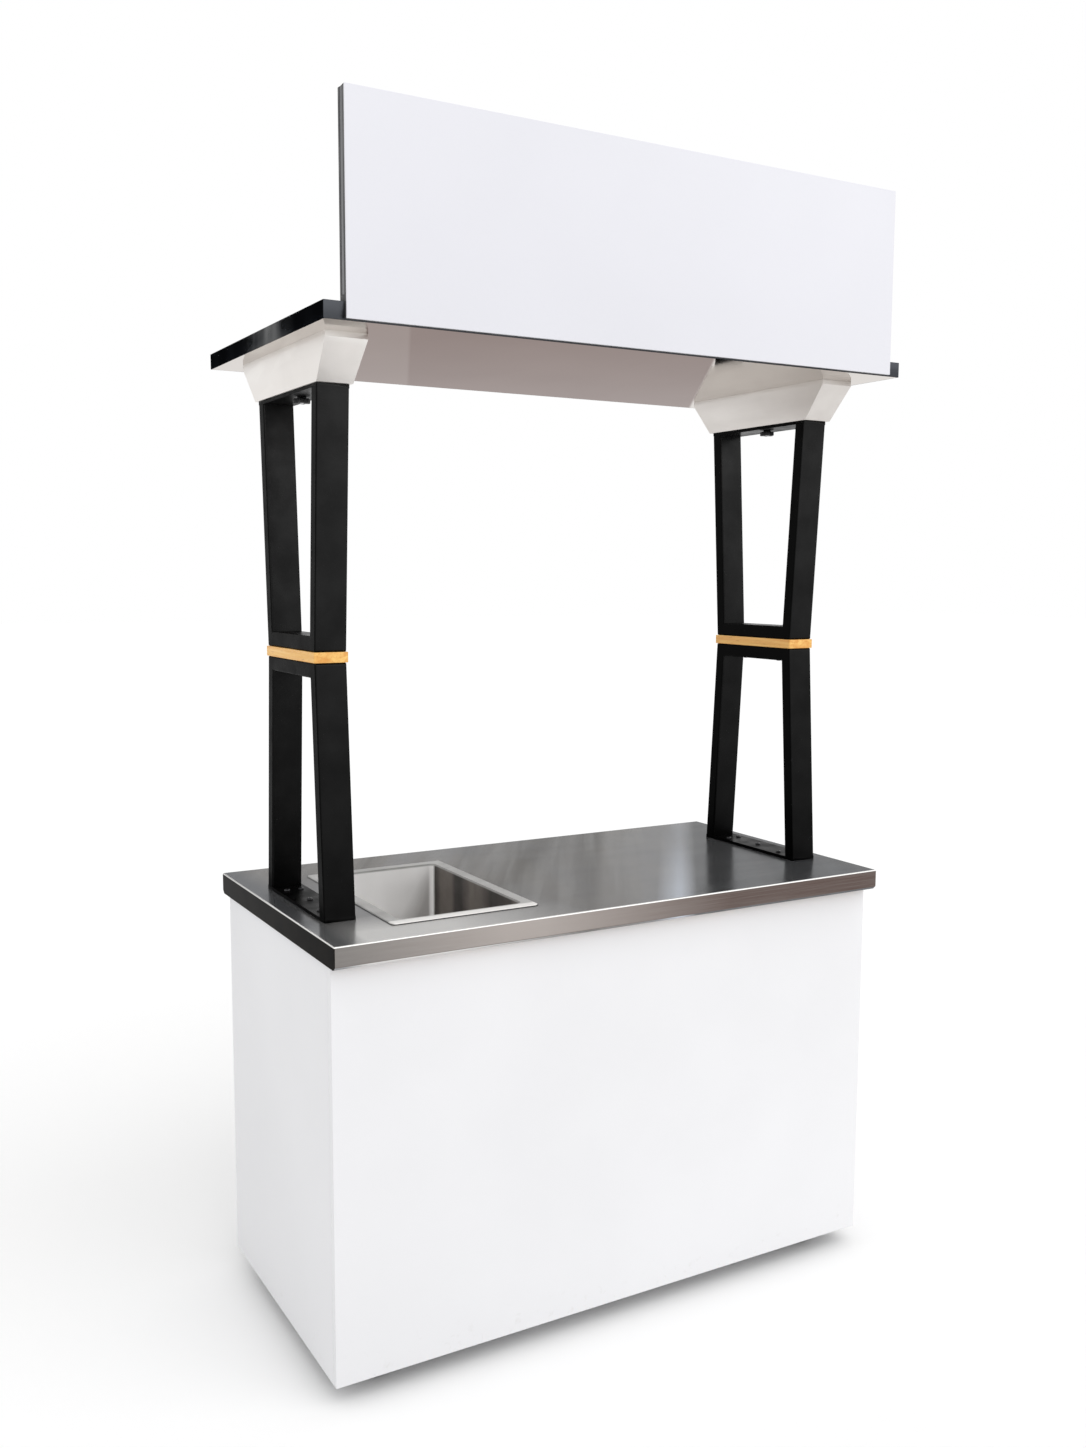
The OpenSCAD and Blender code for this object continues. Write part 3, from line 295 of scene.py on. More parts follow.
def worktop_steel():
    """Brushed sheet with hair lines along its length. Painted light and shade: its front darkens
    towards the right and below the apron, its left end carries painted shade, and its upper bends a
    painted highlight."""
    s = Surface("worktop_steel", metallic=0.78, specular=0.0, edge=(0.55, 0.55, 0.55))
    x, y, z = s.axes()
    soft = 1 * MM
    front_y, end_x = TOP_LOW.y + 1.2 * MM, TOP_LOW.x + 1.2 * MM
    fold_z, bend_z = TOP_Z - APRON - 0.8 * MM, TOP_Z - SHEET_BEND - 0.2 * MM
    left_part, right_part = (-0.64, -0.3), (-0.22, 0.24)
    # Painted light and shade along the front: brighter towards the middle, darker towards the right.
    front = s.mix(s.run(x, 0, 1, *left_part), srgb(130, 126, 123), srgb(174, 166, 161))
    front = s.mix(s.run(x, 0, 1, *right_part), front, srgb(97, 82, 77))
    # Painted shade on the fold below the apron.
    front = s.mix(s.run(z, 1, 0, fold_z, fold_z + soft), front, srgb(108, 96, 91))
    # Painted shade: the left end apron is nearly black.
    end = s.mix(s.run(s.noise(30, EVEN, 4), 0, 1), srgb(10, 9, 8), srgb(24, 21, 18))
    sheet = s.mix(s.run(y, 1, 0, front_y, front_y + soft), worktop_top(s, x, y), front)
    sheet = s.mix(s.run(s.noise(9, (1, 130, 130), 4), 0, 0.14), sheet, srgb(190, 188, 185))
    sheet = s.mix(s.run(x, 1, 0, end_x, end_x + soft), sheet, end)
    # Painted highlight along the upper bends.
    bend = s.times(s.run(z, 0, 1, bend_z, bend_z + soft),
                   s.run(z, 1, 0, TOP_Z - 0.16 * MM, TOP_Z - 0.04 * MM))
    s.colour(s.mix(bend, sheet, srgb(240, 239, 237)))
    s.rough(s.run(s.noise(6, (0.4, 3, 3), 3), 0.18, 0.25))
    s.bump(s.noise(40, (0.4, 60, 60), 3), 0.003, 0.3)
    s.bump(s.noise(2.4, EVEN, 2), 0.03, 4)
    return s.mat


def sink_steel():
    """Satin bowl: a grey rim with a painted highlight along its front, pale walls with hair lines,
    painted shade towards the foot of the right wall, and dark streaks of painted reflection on that
    wall."""
    s = Surface("sink_satin", metallic=0.3, edge=(0.9, 0.9, 0.9))
    x, y, z = s.axes()
    wall = SINK_HIGH.x - SINK_RIM
    shade_slope, shade = 1.6, (-0.05, 0.025)
    tone = s.mix(s.run(s.noise(5, EVEN, 3, 0.4), 0, 1), srgb(246, 245, 244), srgb(254, 253, 252))
    tone = s.mix(s.run(s.noise(14, ALONG_Z, 4), 0, 0.3), tone, srgb(226, 224, 221))
    # Painted shade towards the foot of the right wall.
    low = s.slanted(s.sums("SUBTRACT", z, TOP_Z), s.sums("SUBTRACT", x, wall), shade_slope)
    corner_shade = s.times(s.run(low, 0.58, 0, *shade), s.run(s.noise(22, (1, 1, 0.3), 5, 0.6), 0.6, 1))
    corner_shade = s.times(corner_shade, s.run(x, 1, 0, wall - 14 * MM, wall - 9 * MM))
    tone = s.mix(corner_shade, tone, srgb(148, 144, 140))
    # Dark streaks on the right wall: painted reflection.
    streaks = s.mix(s.run(s.noise(13, (1, 1, 0.02), 2), 0, 1), srgb(42, 37, 34), srgb(104, 97, 91))
    tone = s.mix(s.run(x, 0, 1, wall - 4 * MM, wall - 1 * MM), tone, streaks)
    rim = s.mix(s.run(s.noise(18, EVEN, 3), 0, 1), srgb(160, 159, 157), srgb(178, 177, 175))
    # Painted highlight along the front of the rim.
    front_highlight = s.run(y, 1, 0, SINK_LOW.y + 16 * MM, SINK_LOW.y + SINK_RIM)
    rim = s.mix(front_highlight, rim, srgb(236, 234, 231))
    s.colour(s.mix(s.run(z, 0, 1, TOP_Z - 3 * MM, TOP_Z), tone, rim))
    s.rough(s.run(s.noise(25, ALONG_X, 3), 0.4, 0.55))
    s.bump(s.noise(60, ALONG_X, 3), 0.03, 0.3)
    return s.mat


def capital_steel():
    """Pale satin sheet with brushed lines along Y and soft smears; the right one is darker with
    painted shade.
    """
    s = Surface("capital_satin", metallic=1.0)
    between = (-0.1, 0.1)
    tone = s.mix(s.run(s.noise(3.5, EVEN, 3, 0.4), 0, 1), srgb(218, 214, 210), srgb(230, 226, 222))
    smears = s.noise(7, (1, 0.5, 2.5), 3, 0.8)
    tone = s.mix(s.run(smears, 0, 0.5, 0.5, 0.62), tone, srgb(240, 237, 233))
    # Painted shade: the right capital is a shade darker.
    tone = s.mix(s.run(s.axes()[0], 0, 0.55, *between), tone, srgb(190, 184, 179))
    s.colour(s.mix(s.run(s.noise(12, ALONG_Y, 4), 0, 0.3), tone, srgb(236, 232, 228)))
    s.rough(s.run(s.noise(25, ALONG_Y, 3), 0.3, 0.42))
    s.bump(s.noise(30, ALONG_Y, 3), 0.03, 0.3)
    s.bump(s.noise(3, detail=1), 0.05, 3)
    return s.mat


def satin_steel(name, dark, light, rough, stretch):
    """Steel with a fine brushed line along the axis of the smallest stretch."""
    s = Surface(name, metallic=1.0)
    tone = s.mix(s.run(s.noise(3.5, detail=3, distortion=0.4), 0, 1), dark, light)
    s.colour(s.mix(s.run(s.noise(12, stretch, 4), 0, 0.35), tone, light))
    s.rough(s.run(s.noise(25, stretch, 3), *rough))
    s.bump(s.noise(30, stretch, 3), 0.03, 0.3)
    s.bump(s.noise(3, detail=1), 0.03, 3)
    return s.mat


def mirror_steel():
    """Polished soffit sheet: a warm grey mirror, slightly wavy, with faint wipe marks. Painted
    reflections make it paler and more reflective at its left end and in its front right corner."""
    s = Surface("soffit_mirror", metallic=1.0)
    x, y, z = s.axes()
    left, right = s.slanted(x, y, 0.44), s.slanted(x, y, 0.635)
    bright_left, bright_end = (-0.434, -0.43), (-0.537, -0.533)
    faint_left, bright_right = (-0.352, -0.345), (0.374, 0.382)
    # Painted reflection: pale, more reflective patches at the left end and in the front right corner,
    # bounded by slanting lines.
    bright = s.sums("MINIMUM", s.run(left, 1, 0, *bright_left), s.run(x, 1, 0, *bright_end))
    bright = s.sums("MAXIMUM", bright, s.run(left, 0.14, 0, *faint_left))
    bright = s.sums("MAXIMUM", bright, s.run(right, 0, 1, *bright_right))
    grey = s.mix(s.run(s.noise(2.0, (1, 0.7, 1), 3), 0, 1), srgb(144, 132, 128), srgb(158, 147, 143))
    s.colour(s.mix(bright, grey, srgb(206, 201, 197)))
    s.tint(s.mix(bright, (0.52, 0.46, 0.445, 1), (0.88, 0.86, 0.84, 1)))
    s.rough(s.run(s.noise(7, (1, 0.5, 1), 4, 0.8), 0.035, 0.11))
    s.bump(s.noise(1.6, detail=1), 0.04, 4)
    s.bump(s.noise(60, (1, 20, 1), 2), 0.008, 0.2)
    return s.mat


def powder_black(name, tone, rough, specular, grain, metallic=0.0, upper=None):
    """Powder coat: a fine pebble, dull patches and a few pale rub marks. It may turn to an upper
    tone with height, painted light, and then carries painted shade on the faces that look left or
    right."""
    s = Surface(name, metallic, specular, edge=(0.5, 0.5, 0.5))
    if upper:
        # Painted light: turns to the upper tone with height.
        tone = s.mix(s.run(s.axes()[2], 0, 1, TOP_Z, CANOPY_Z), tone, upper)
        # Painted shade on the faces that look left or right.
        sideways_shade = s.sums("ABSOLUTE", s.facing()[0])
        tone = s.mix(s.run(sideways_shade, 0, 0.85, 0.4, 0.95), tone, DEEP_BLACK)
    base = s.mix(s.run(s.noise(14, detail=4), 0.28, 0), tone, DEEP_BLACK)
    rub = s.run(s.noise(55, EVEN, 8, 1.2), 0, 0.3, 0.71, 0.79)
    s.colour(s.mix(rub, base, srgb(52, 52, 54)))
    s.rough(s.run(s.noise(22, detail=4), *rough))
    s.bump(s.noise(1400, detail=2), grain, 0.2)
    return s.mat


def edge_trim():
    """Black canopy trims with a painted highlight along the middle of their sides and paler fronts,
    painted light.
    """
    s = Surface("edge_trim", metallic=0.92, specular=0.0)
    y = s.axes()[1]
    # Painted highlight along the middle of the sides, which also raises the reflection tint.
    highlight_rise, highlight_fall = (-0.2, -0.06), (-0.04, 0.12)
    side_highlight = s.times(s.run(y, 0, 1, *highlight_rise), s.run(y, 1, 0, *highlight_fall))
    side_highlight = s.times(side_highlight, s.run(s.noise(18, (1, 1, 0.4), 4), 0.6, 1))
    tone = s.mix(s.run(s.noise(5, (0.6, 0.6, 1), 3), 0, 1), srgb(34, 35, 37), srgb(48, 50, 54))
    # Painted light: faces that look to the front are paler.
    tone = s.mix(s.run(s.facing()[1], 1, 0, -0.95, -0.5), tone, srgb(74, 76, 80))
    s.colour(s.mix(side_highlight, tone, srgb(112, 113, 113)))
    s.tint(s.mix(side_highlight, (0.08, 0.08, 0.085, 1), (0.6, 0.6, 0.6, 1)))
    s.rough(s.run(s.noise(22, (0.6, 0.6, 1), 4), 0.26, 0.38))
    s.bump(s.noise(300, (0.05, 0.05, 1)), 0.04, 0.3)
    return s.mat


def beech(name, dark, light):
    """Lacquered wood: long grain along Y, growth bands and short dark flecks."""
    s = Surface(name, specular=0.4)
    bands = s.noise(26, (1.3, 0.10, 2.2), 4, 0.9)
    fibre = s.noise(160, (1, 0.03, 1.4), 4, 0.2)
    fleck = s.noise(420, (1, 0.08, 0.6), 2)
    wood = s.mix(s.run(bands, 0, 1, 0.38, 0.64), light, dark)
    wood = s.mix(s.run(fibre, 0, 0.35), wood, srgb(220, 154, 76))
    s.colour(s.mix(s.run(fleck, 0, 0.4, 0.62, 0.7), wood, srgb(180, 120, 64)))
    s.rough(s.run(fibre, 0.36, 0.52))
    s.bump(fibre, 0.08, 0.4)
    return s.mat


def plywood():
    """Layered core board: bands by height with long fibres."""
    s = Surface("core_plywood", specular=0.3)
    layers = s.noise(120, (0.04, 0.04, 4), 1)
    fibre = s.noise(90, (0.06, 1, 1), 4)
    ply = s.mix(s.run(layers, 0, 1, 0.46, 0.54), srgb(176, 138, 92), srgb(206, 170, 122))
    s.colour(s.mix(s.run(fibre, 0, 0.3), ply, srgb(150, 112, 72)))
    s.rough(s.run(fibre, 0.6, 0.8))
    s.bump(fibre, 0.1, 0.4)
    return s.mat


WHITE = laminate()
STEEL = worktop_steel()
SINK = sink_steel()
CAPITAL = capital_steel()
SOFFIT = mirror_steel()
# Frame black: its upper tone is painted light, lighter towards the canopy.
BLACK = powder_black("frame_black", srgb(22, 22, 22), (0.26, 0.4), 0.13, 0.10, 0.85,
                     srgb(46, 46, 46))
CHASSIS = powder_black("chassis_black", srgb(34, 34, 36), (0.5, 0.65), 0.3, 0.16)
TRIM = edge_trim()
BOARD = finish("canopy_laminate", srgb(26, 26, 28), srgb(36, 36, 38), (4, EVEN), (0.4, 0.55),
               (700, EVEN, 0.08, 0.2), specular=0.4)
WOOD = beech("spacer_beech", srgb(234, 167, 84), srgb(255, 206, 120))
CORE = plywood()
SIGN = finish("sign_sheet", srgb(230, 230, 236), srgb(234, 234, 240), (1.3, EVEN), (0.28, 0.4),
              (600, EVEN, 0.03, 0.2), specular=0.4)
SIGN_EDGE = finish("sign_frame", srgb(38, 38, 40), srgb(54, 54, 56), (16, (1, 1, 0.3)),
                   (0.4, 0.6), (240, (1, 1, 0.1), 0.12, 0.4), specular=0.4)
STRIP = satin_steel("sign_strip", srgb(96, 96, 98), srgb(122, 122, 124), (0.35, 0.5), ALONG_Z)
ZINC = satin_steel("zinc_plate", srgb(170, 173, 176), srgb(200, 203, 206), (0.28, 0.44), EVEN)
OXIDE = finish("black_oxide", srgb(30, 30, 32), srgb(52, 52, 54), (90, EVEN), (0.25, 0.4),
               (900, EVEN, 0.06, 0.2), metallic=0.6)
HINGE = satin_steel("hinge_satin", srgb(168, 168, 170), srgb(198, 198, 200), (0.25, 0.38),
                    ALONG_Z)
KNOB = satin_steel("knob_satin", srgb(176, 176, 178), srgb(206, 206, 208), (0.2, 0.34), EVEN)
GRIP = finish("grip_plastic", srgb(17, 17, 18), srgb(27, 27, 28), (40, EVEN), (0.42, 0.58),
              (1200, EVEN, 0.15, 0.2), specular=0.4)
NYLON = finish("wheel_nylon", srgb(186, 186, 184), srgb(206, 206, 203), (40, EVEN), (0.4, 0.55),
               (900, EVEN, 0.08, 0.2))
RUBBER = finish("wheel_rubber", srgb(36, 36, 37), srgb(56, 56, 57), (60, EVEN), (0.6, 0.8),
                (700, EVEN, 0.2, 0.3), specular=0.3)
TANK = finish("tank_polythene", srgb(220, 222, 219), srgb(232, 233, 230), (7, EVEN), (0.35, 0.5),
              (260, EVEN, 0.08, 0.4))
# Sealing bead, dark as painted shade for the shadow line round the sink's rim.
SEAL_SHADOW_LINE = finish("seal_bead_shadow_line", srgb(20, 20, 19), srgb(34, 34, 32), (60, EVEN), (0.35, 0.5),
              (500, EVEN, 0.1, 0.3))


# Pieces

WELD = 2e-6
FLAT = math.radians(0.4)
SHARP = math.radians(30)


def show(name, mesh, material, body, stands_for=(), crease=40):
    """Links a mesh as a piece that rides on a body and takes the place of CAD nodes. Edges sharper
    than the crease, in degrees, stay sharp."""
    mesh.materials.clear()
    mesh.materials.append(material)
    mesh.polygons.foreach_set("use_smooth", [True] * len(mesh.polygons))
    if crease:
        mesh.set_sharp_from_angle(angle=math.radians(crease))
    piece = bpy.data.objects.new(name, mesh)
    scene.collection.objects.link(piece)
    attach(piece, body)
    if stands_for:
        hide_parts(*stands_for)
    return piece


def solid(name, parts, material, body, stands_for=(), crease=40):
    """Piece from lists of (points, faces)."""
    points = []
    faces = []
    for some, fs in parts:
        base = len(points)
        points += [tuple(p) for p in some]
        faces += [[base + i for i in f] for f in fs]
    mesh = bpy.data.meshes.new(name)
    mesh.from_pydata(points, [], faces)
    bm = bmesh.new()
    bm.from_mesh(mesh)
    bmesh.ops.recalc_face_normals(bm, faces=bm.faces)
    bm.to_mesh(mesh)
    bm.free()
    return show(name, mesh, material, body, stands_for, crease)


def node_body(node):
    return body_of(nodes[node])[0]


def node_mesh(node):
    """Copy of a CAD node's mesh with its flat faces whole."""
    bm = bmesh.new()
    bm.from_mesh(nodes[node].data)
    bmesh.ops.remove_doubles(bm, verts=bm.verts, dist=WELD)
    bmesh.ops.dissolve_limit(bm, angle_limit=FLAT, verts=bm.verts, edges=bm.edges)
    mesh = bpy.data.meshes.new(node + "_mesh")
    bm.to_mesh(mesh)
    bm.free()
    return mesh


def eased(node, width, material, segments=3):
    """A CAD node with its sharp edges rounded to a width."""
    piece = show(node + "_eased", node_mesh(node), material, node_body(node),
                 [node], crease=0)
    bevel = piece.modifiers.new("edge", "BEVEL")
    bevel.width = width
    bevel.segments = segments
    bevel.limit_method = "ANGLE"
    bevel.angle_limit = SHARP
    bevel.harden_normals = True


def smoothed(node, material):
    """A CAD node with its round faces shaded smooth and its flat faces flat."""
    piece = show(node + "_smooth", node_mesh(node), material, node_body(node),
                 [node], crease=35)
    piece.modifiers.new("flat", "WEIGHTED_NORMAL").keep_sharp = True


def bent_frame(node, material, bend=6 * MM, steps=8):
    """A tube frame with the outer corners of its narrow end rounded to a bend."""
    low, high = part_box(node)
    lower = node.endswith("lower_frame")
    up = 1 if lower else -1
    end = high.z if lower else low.z
    slope = math.atan2((high.y - low.y) / 2 - WAIST_HALF, high.z - low.z)
    reach = WAIST_HALF + bend * math.tan(slope) - bend / math.cos(slope)
    slack = 1e-7
    bm = bmesh.new()
    bm.from_mesh(nodes[node].data)
    bmesh.ops.remove_doubles(bm, verts=bm.verts, dist=WELD)

    def cut(point, normal):
        bmesh.ops.bisect_plane(bm, geom=[*bm.verts, *bm.edges, *bm.faces], dist=WELD / 2,
                               plane_co=point, plane_no=normal)

    cut((0, 0, end - up * (bend + MM)), (0, 0, 1))
    for side in SIDES:
        middle = Vector((0, UPRIGHT_Y + side * reach, end - up * bend))
        cut(middle - Vector((0, side * MM, 0)), (0, 1, 0))
        for k in range(steps + 1):
            a = slope + (math.pi / 2 - slope) * k / steps
            cut(middle, (0, -side * math.sin(a), up * math.cos(a)))
        for v in bm.verts:
            out, rise = side * (v.co.y - middle.y), up * (v.co.z - middle.z)
            far = math.hypot(out, rise)
            above = rise * math.cos(slope) > out * math.sin(slope) - slack
            if out > 0 and above and far > bend:
                v.co.y = middle.y + side * out * bend / far
                v.co.z = middle.z + up * rise * bend / far
    mesh = bpy.data.meshes.new(node + "_mesh")
    bm.to_mesh(mesh)
    bm.free()
    piece = show(node + "_bent", mesh, material, node_body(node), [node],
                 crease=35)
    piece.modifiers.new("flat", "WEIGHTED_NORMAL").keep_sharp = True


def loft(rings, loop=False):
    """Skin over rings of equally many points; its ends are closed, or the last joins the first."""
    n = len(rings[0])
    points = [p for ring in rings for p in ring]
    faces = []
    pairs = list(zip(range(len(rings) - 1), range(1, len(rings))))
    if loop:
        pairs.append((len(rings) - 1, 0))
    for a, b in pairs:
        for k in range(n):
            j = (k + 1) % n
            faces.append([a * n + k, a * n + j, b * n + j, b * n + k])
    if not loop:
        faces.append(list(range(n)))
        faces.append([(len(rings) - 1) * n + k for k in range(n)])
    return points, faces


def at_angle(r, a, z):
    return Vector((r * math.cos(a), r * math.sin(a), z))


def circle(r, z, steps=ROUND):
    return [at_angle(r, 2 * math.pi * k / steps, z) for k in range(steps)]


def hexagon(r, z, limit=None):
    """Hexagon of corner radius r as a ring, cut off at a limit radius."""
    flat = r * math.cos(math.pi / 6)
    ring = []
    for k in range(ROUND):
        a = 2 * math.pi * k / ROUND
        reach = flat / math.cos((a % (math.pi / 3)) - math.pi / 6)
        ring.append(at_angle(min(reach, limit) if limit else reach, a, z))
    return ring


def round_rectangle(x0, x1, y0, y1, r, z, steps=10):
    ring = []
    for cx, cy, a0 in ((x1 - r, y1 - r, 0), (x0 + r, y1 - r, 90), (x0 + r, y0 + r, 180),
                       (x1 - r, y0 + r, 270)):
        for k in range(steps + 1):
            a = math.radians(a0 + 90 * k / steps)
            ring.append(Vector((cx, cy, 0)) + at_angle(r, a, z))
    return ring


def placed(part, matrix):
    return [matrix @ p for p in part[0]], part[1]


# Fasteners

UP = Matrix.Identity(4)
DOWN = Matrix.Rotation(math.pi, 4, "X")
BACK = Matrix.Rotation(-math.pi / 2, 4, "X")
MILLIMETRES = Matrix.Scale(MM, 4)
NUT_RISE = 1.6
SCREW_BITE = 1.4


def button_bolt(r, length):
    """Button head with a socket on height 0, its threaded shank hanging down."""
    head, rise = 2 * r, 1.1 * r
    crest, root, pitch, thread = 0.98 * r, 0.86 * r, 0.3 * r, 2.6 * r
    brow, dome, steps = 0.08, math.radians(75), 6
    rings = [circle(0.7 * r, -length), circle(crest, pitch - length)]
    z = pitch - length
    while z < thread - length:
        rings += [circle(root, z + pitch / 2), circle(crest, z + pitch)]
        z += pitch
    rings += [circle(crest, 0), circle(0.96 * head, 0), circle(head, brow * rise)]
    for k in range(1, steps + 1):
        a = dome * k / steps
        height = brow + (1 - brow) * math.sin(a) / math.sin(dome)
        rings.append(circle(head * (1 + math.cos(a)) / 2, rise * height))
    rings += [hexagon(0.95 * r, rise), hexagon(0.92 * r, 0.4 * rise), circle(0.3 * r, 0.3 * rise)]
    return loft(rings)


def hex_nut(r):
    """Nut on height 0 with both rims turned off."""
    corner, h, bore = 2 * r, NUT_RISE * r, 1.02 * r
    turned, bevel = 0.9 * corner, 0.14 * h
    rings = [circle(bore, 0), hexagon(corner, 0, turned), hexagon(corner, bevel),
             hexagon(corner, h - bevel), hexagon(corner, h, turned), circle(bore, h)]
    return loft(rings, loop=True)


def bolts(node, material, r, spots, seat, turn, grip, nut_z):
    """All bolts of one node with their nuts. grip is what a bolt holds together."""
    parts = []
    length = grip + 2 * NUT_RISE * r
    for x, y in spots:
        parts.append(placed(button_bolt(r, length), Matrix.Translation((x, y, seat)) @ turn))
        parts.append(placed(hex_nut(r), Matrix.Translation((x, y, nut_z))))
    solid(node + "_turned", parts, material, "bar", [node])


def on_uprights(spots):
    return [(side * UPRIGHT_X + x, UPRIGHT_Y + y) for side in SIDES for x, y in spots]


def frame_bolts():
    """Bolts through the feet, the spacers and the capitals."""
    corners = [(a * FOOT_COL, b * FOOT_ROW) for a in SIDES for b in SIDES]
    seat = TOP_Z + FOOT_PLATE
    bolts("foot_bolts", OXIDE, FRAME_BOLT, on_uprights([(0, 0)] + corners), seat, UP,
          seat - PANEL_TOP, PANEL_TOP - NUT_RISE * FRAME_BOLT)
    seat, nut_z = WAIST_LOW - TUBE, WAIST_HIGH + TUBE_WALL
    bolts("spacer_bolts", OXIDE, FRAME_BOLT, on_uprights([(0, b * SPACER_ROW) for b in SIDES]),
          seat, DOWN, nut_z - seat, nut_z)
    under = CANOPY_Z - CAPITAL_SHEET
    bolts("canopy_bolts", ZINC, FRAME_BOLT, on_uprights([(0, b * CAPITAL_ROW) for b in SIDES]),
          CANOPY_TOP, UP, CANOPY_TOP - under, under - NUT_RISE * FRAME_BOLT)


def caster_bolts():
    spots = [(x + a * CASTER_COL, y + b * CASTER_ROW) for x, y, z in SWIVELS
             for a in SIDES for b in SIDES]
    bolts("caster_bolts", ZINC, CASTER_BOLT, spots, CASTER_TOP - CASTER_PLATE, DOWN,
          CASTER_PLATE + CASTER_PAD, CASTER_TOP + CASTER_PAD)


def screws(name, spots, turn, r, body):
    """Small socket screws set down on a face."""
    screw = button_bolt(r, SCREW_BITE * r)
    parts = [placed(screw, Matrix.Translation(p) @ turn) for p in spots]
    solid(name, parts, ZINC, body)


def hinge_screws():
    """Three screws in every leaf of the doors' hinges."""
    radius, from_pin = 1.3 * MM, 10.4 * MM
    face = REAR_Y + LEAF_SHEET
    heights = [z + HINGE_LEAF * share for z in (HINGES_LOW, HINGES_TOP - HINGE_LEAF)
               for share in (1 / 6, 1 / 2, 5 / 6)]
    for name, side in (("left", -1), ("right", 1)):
        screws(name + "_door_screws", [(side * (HINGE_X - from_pin), face, z) for z in heights],
               BACK, radius, name + "_door_leaf")
    screws("hinge_frame_screws", [(side * (HINGE_X + from_pin), face, z) for side in SIDES
                                  for z in heights], BACK, radius, "bar")


def bracket_screws():
    """Two screws in each arm of the sign's brackets."""
    radius, col = 2 * MM, 13 * MM
    out, rise = 27 * MM, 26 * MM
    pitch = 2 * SIGN_HALF / 3
    xs = [k * pitch + side * col for k in (-1, 0, 1) for side in SIDES]
    screws("bracket_floor_screws", [(x, SIGN_REAR + out, CANOPY_TOP + BRACKET_SHEET) for x in xs],
           UP, radius, "bar")
    screws("bracket_wall_screws", [(x, SIGN_REAR + BRACKET_SHEET, CANOPY_TOP + rise) for x in xs],
           BACK, radius, "bar")


frame_bolts()
caster_bolts()


# Knobs, tank, seal and strips

def clamp_knob(side):
    """Six-lobed grip with rounded rims, a bright screw end below and its stud above. Profiles are
    in millimetres: (inset or radius, height)."""
    node = side + "_clamp_knob"
    low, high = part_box(node)
    place = Matrix.Translation(((low.x + high.x) / 2, (low.y + high.y) / 2, low.z)) @ MILLIMETRES
    reach = (high.x - low.x) / 2 / MM
    top = (high.z - low.z) / MM
    lobe_count, lobe_mean, lobe_swing = 6, 0.85, 0.145
    steps = 2 * ROUND
    recess = ((4.6, 1.2), (4.8, 0.2))
    rim = ((2.0, 0), (0.9, 0.3), (0.25, 1.0), (0, 2.0), (0, 7.0), (0.3, 8.2), (1.1, 8.8), (2.4, 9.0))
    collar = ((9.0, 9.0), (9.0, 11.0), (8.6, 11.5), (5.5, 11.5))
    screw = ((2.0, 0.3), (4.0, 0.3), (4.2, 0.8), (4.2, 1.4))
    stud = ((5, 11.2), (5, top - 1), (4.2, top))

    def lobes(inset, z):
        ring = []
        for k in range(steps):
            a = 2 * math.pi * k / steps
            swing = lobe_mean + lobe_swing * math.cos(lobe_count * a)
            ring.append(at_angle(reach * swing - inset, a, z))
        return ring

    grip = [circle(r, z, steps) for r, z in recess]
    grip += [lobes(inset, z) for inset, z in rim]
    grip += [circle(r, z, steps) for r, z in collar]
    solid(node + "_grip", [placed(loft(grip), place)], GRIP, node_body(node), [node],
          crease=50)
    metal = [placed(loft([circle(r, z) for r, z in profile]), place) for profile in (screw, stud)]
    solid(node + "_stud", metal, KNOB, node_body(node))


def door_knob(side):
    """Turned knob: base, waisted neck and domed head, as (radius, height) in millimetres."""
    node = side + "_door_knob"
    low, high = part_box(node)
    place = Matrix.Translation(((low.x + high.x) / 2, low.y, (low.z + high.z) / 2)) @ BACK
    shape = ((9.4, 0), (10, 0.5), (10, 2.4), (9.4, 3.1), (7.6, 4.2), (6.3, 5.8), (6, 8), (6.1, 11),
             (6.8, 12.6), (9.6, 14.2), (12.6, 15.4), (13.8, 17), (14, 19), (13.6, 21), (12, 22.8),
             (9, 23.7), (5, 24))
    rings = [circle(r, z) for r, z in shape]
    solid(node + "_turned", [placed(loft(rings), place @ MILLIMETRES)], KNOB, node_body(node),
          [node])


def seal_bead_shadow_line():
    """Sealing bead in the corner between the sink's rim and the worktop, as (distance out, height) in
    millimetres. Its dark colour is painted shade for the shadow gap under the rim."""
    bead = ((0.1, 0.1), (1.8, 0.1), (1.4, 0.6), (0.7, 1.1), (0.1, 1.3))

    def rim(out, z):
        return round_rectangle(SINK_LOW.x - out, SINK_HIGH.x + out, SINK_LOW.y - out,
                               SINK_HIGH.y + out, SINK_CORNER + out, TOP_Z + z)

    rings = [rim(out * MM, z * MM) for out, z in bead]
    solid("sink_seal_shadow_line", [loft(rings, loop=True)], SEAL_SHADOW_LINE, "bar")


